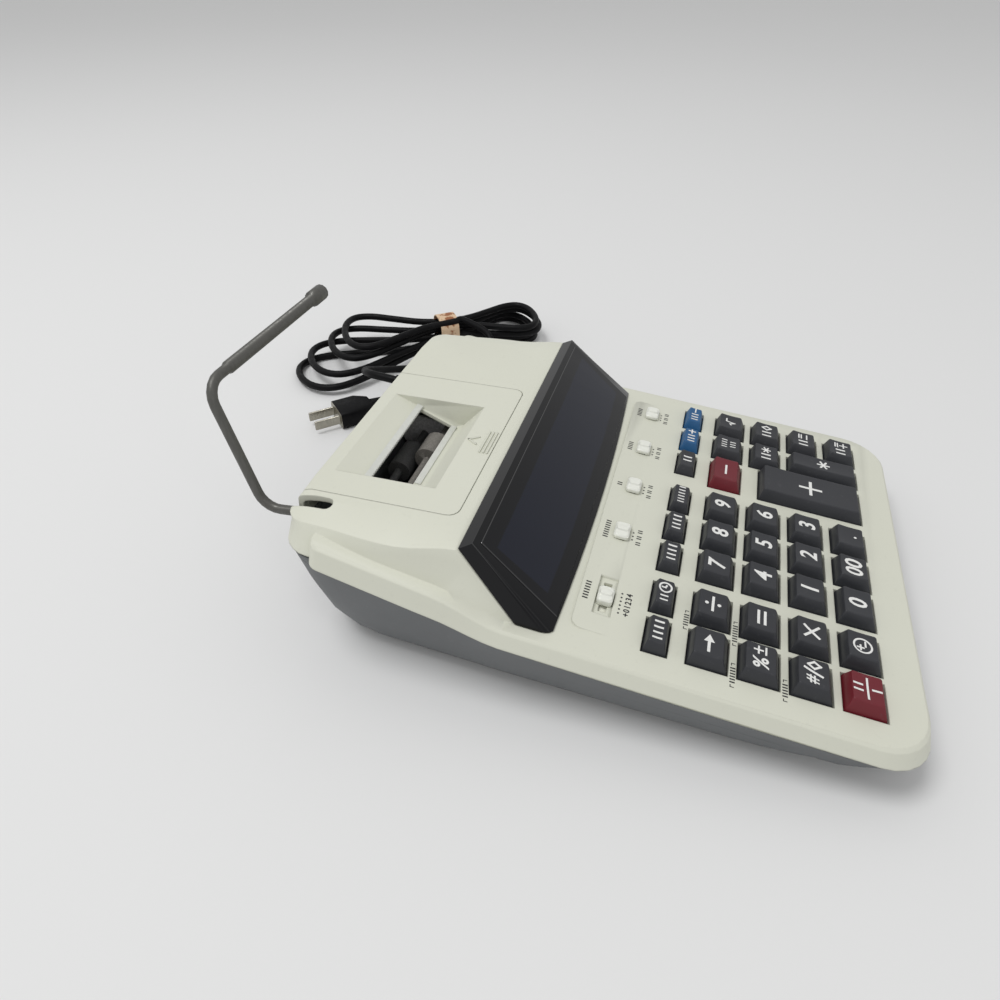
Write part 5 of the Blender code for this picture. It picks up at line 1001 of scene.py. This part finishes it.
def legendWork(kind, what, size):
    if kind == "text":
        return textMesh(what, size, legend["weight"], legend["slant"])
    if kind == "rule":
        return signMesh(signs[what], size, legend["rule"])
    if kind == "sign":
        return signMesh(signs[what], size, legend["thick"] * max(size, legend["least"]))
    return signMesh(strokes(what), size, legend["word"] * size)


for node, parts in keyLegends.items():
    tree = surfaceOf(keyPieces[node])
    x, y = deckCentre(node)
    works = []
    for kind, what, dx, dy, size in parts:
        work = legendWork(kind, what, size)
        layOn(work, tree, x + dx, y + dy)
        works.append(work)
    addPiece(node + "Legend", meshFrom(gather(works), node + "Legend"), whiteInk, node)
print("key legends laid")

# Moulded details of the cover: a guide bar at the paper window, an arrow and three ribs
guide = {"x": (-41.5, 9.3), "y": (130.4, 133.6), "z": (7.0, 9.3), "edge": 0.35}
marks = {
    "x": -18.0,
    "ribs": (108.0, 106.2, 104.4),
    "length": 17.0,
    "width": 0.8,
    "height": 0.5,
    "arrow": 113.5,
    "arrowBars": [("bar", -3, -2, 0, 2.4), ("bar", 3, -2, 0, 2.4)],
}


def addGuide():
    work = boxWork((guide["x"], guide["y"], guide["z"]))
    roundEdges(work, work.edges[:], guide["edge"])
    bmesh.ops.transform(work, matrix=deckMatrix @ Matrix.Scale(mm, 4), verts=work.verts)
    addPiece("windowGuide", shaded(work, "windowGuide", 40.0), stripFinish, "printer_cover")


def addMarks():
    tree = surfaceOf(printerCover)
    half = 0.5 * marks["length"]
    works = [signMesh([("bar", -half, 0, half, 0)], 2.0, marks["width"]) for _ in marks["ribs"]]
    places = list(marks["ribs"]) + [marks["arrow"]]
    works.append(signMesh(marks["arrowBars"], 2.0, marks["width"]))
    for work, y in zip(works, places):
        layOn(work, tree, marks["x"], y)
        bmesh.ops.translate(work, verts=work.verts, vec=deckUp * marks["height"] * mm)
        bmesh.ops.solidify(work, geom=work.faces[:], thickness=2 * marks["height"] * mm)
        bmesh.ops.recalc_face_normals(work, faces=work.faces)
    addPiece("coverMarks", shaded(gather(works), "coverMarks", 40.0), ivory, "printer_cover")


addGuide()
addMarks()

# Black prints: places in the deck's millimetres. The word places hold plain strokes
prints = {
    "knobLine": 36.0,
    "word": 7.0,
    "dots": -5.3,
    "dotStep": 2.5,
    "dot": 0.45,
    "scale": -8.2,
    "pairStep": 4.2,
    "pair": 0.9,
    "stroke": 2.2,
    "ink": 0.34,
    "digit": 3.6,
    "weight": 0.03,
}
switchMarks = {"rounding": (-27.4, 8), "total": (8.5, 2), "print": (43.3, 5), "power": (78.6, 5)}
decimalScale = {
    "first": -76.2,
    "step": 2.25,
    "stops": "+01234",
    "dots": 1.3,
    "digits": 1.5,
    "wordX": -68.8,
    "wordUp": 1.2,
    "strokes": 7,
}
corners = {"stroke": 1.9, "size": 1.6, "ink": 0.36, "perStroke": 0.69, "aside": 1.6}
gapMarks = [(-69.3, 1.9, 5), (-69.3, -18.2, 7), (-90.9, -18.2, 6), (-90.9, -38.2, 5)]


def addPrints():
    tree = surfaceOf(upperCase)
    works = []

    def put(work, x, y):
        layOn(work, tree, x, y)
        works.append(work)

    def strokeRow(count, x, y, size):
        put(signMesh(strokes(count), size, prints["ink"] * size), x, y)

    def dotAt(x, y):
        put(signMesh([("dot", 0, 0, 2 * prints["dot"])], 1.0, 1.0), x, y)

    line = prints["knobLine"]
    for x, count in switchMarks.values():
        strokeRow(count, x, line + prints["word"], prints["stroke"])
        for side in (-1, 0, 1):
            dotAt(x + prints["dotStep"] * side, line + prints["dots"])
            size = prints["pair"] * prints["stroke"]
            strokeRow(2, x + prints["pairStep"] * side, line + prints["scale"], size)
    wordY = line + prints["word"] + decimalScale["wordUp"]
    strokeRow(decimalScale["strokes"], decimalScale["wordX"], wordY, prints["stroke"])
    for index, digit in enumerate(decimalScale["stops"]):
        x = decimalScale["first"] + decimalScale["step"] * index
        dotAt(x, line + prints["dots"] - decimalScale["dots"])
        digitY = line + prints["scale"] - decimalScale["digits"]
        put(textMesh(digit, prints["digit"], prints["weight"], 0), x, digitY)
    for x, y, count in gapMarks:
        strokeRow(count, x, y, corners["stroke"])
        aside = corners["perStroke"] * count + corners["aside"]
        for side in (-1, 1):
            corner = [("bar", 0, -0.8, 0, 0.8), ("bar", 0, 0.8, -1.2 * side, 0.8)]
            put(signMesh(corner, corners["size"], corners["ink"]), x + side * aside, y)
    addPiece("deckPrints", meshFrom(gather(works), "deckPrints"), blackInk, "housing")


addPrints()
print("deck prints laid")

# Floor, light and world
studio = {
    "floor": (0.755, 0.757, 0.755),
    "dust": (0.745, 0.747, 0.745),
    "world": 0.62,
    "lamp": (-0.42, 0.72, 2.1),
    "spread": (1.0, 1.0),
    "power": 20.5,
    "front": (-1.2, -1.3, 1.08),
    "frontSpread": (0.22, 0.55),
    "frontPower": 1.3,
    "floorHalf": 4.0,
    "drop": 0.0002,
}


def addFloor():
    finish = Finish("paleFloor", studio["floor"], 0.9)
    finish.set("Specular IOR Level", 0.1)
    clouds = finish.noise(finish.place(), 1.2, 2)
    finish.set("Base Color", finish.mixed(clouds, studio["dust"], studio["floor"]))
    work = bmesh.new()
    bmesh.ops.create_grid(work, x_segments=1, y_segments=1, size=studio["floorHalf"])
    mesh = meshFrom(work, "floor")
    mesh.materials.append(finish.material)
    floor = bpy.data.objects.new("floor", mesh)
    floor.location.z = -studio["drop"]
    bpy.context.scene.collection.objects.link(floor)


def addLamp(name, place, target, size, power):
    data = bpy.data.lights.new(name, "AREA")
    data.shape = "ELLIPSE"
    data.size, data.size_y = size
    data.energy = power
    lamp = bpy.data.objects.new(name, data)
    lamp.location = place
    lamp.rotation_euler = (Vector(target) - Vector(place)).to_track_quat("-Z", "Y").to_euler()
    bpy.context.scene.collection.objects.link(lamp)


def addWorld():
    world = bpy.data.worlds.new("studioWorld")
    world.use_nodes = True
    bpy.context.scene.world = world
    background = world.node_tree.nodes["Background"]
    background.inputs["Color"].default_value = (1, 1, 1, 1)
    background.inputs["Strength"].default_value = studio["world"]


addFloor()
addWorld()
addLamp("topLight", studio["lamp"], (0, 0, 0), studio["spread"], studio["power"])
addLamp("frontLight", studio["front"], (0, 0, 0), studio["frontSpread"], studio["frontPower"])
bpy.context.scene.view_settings.view_transform = "Standard"
print("studio set")
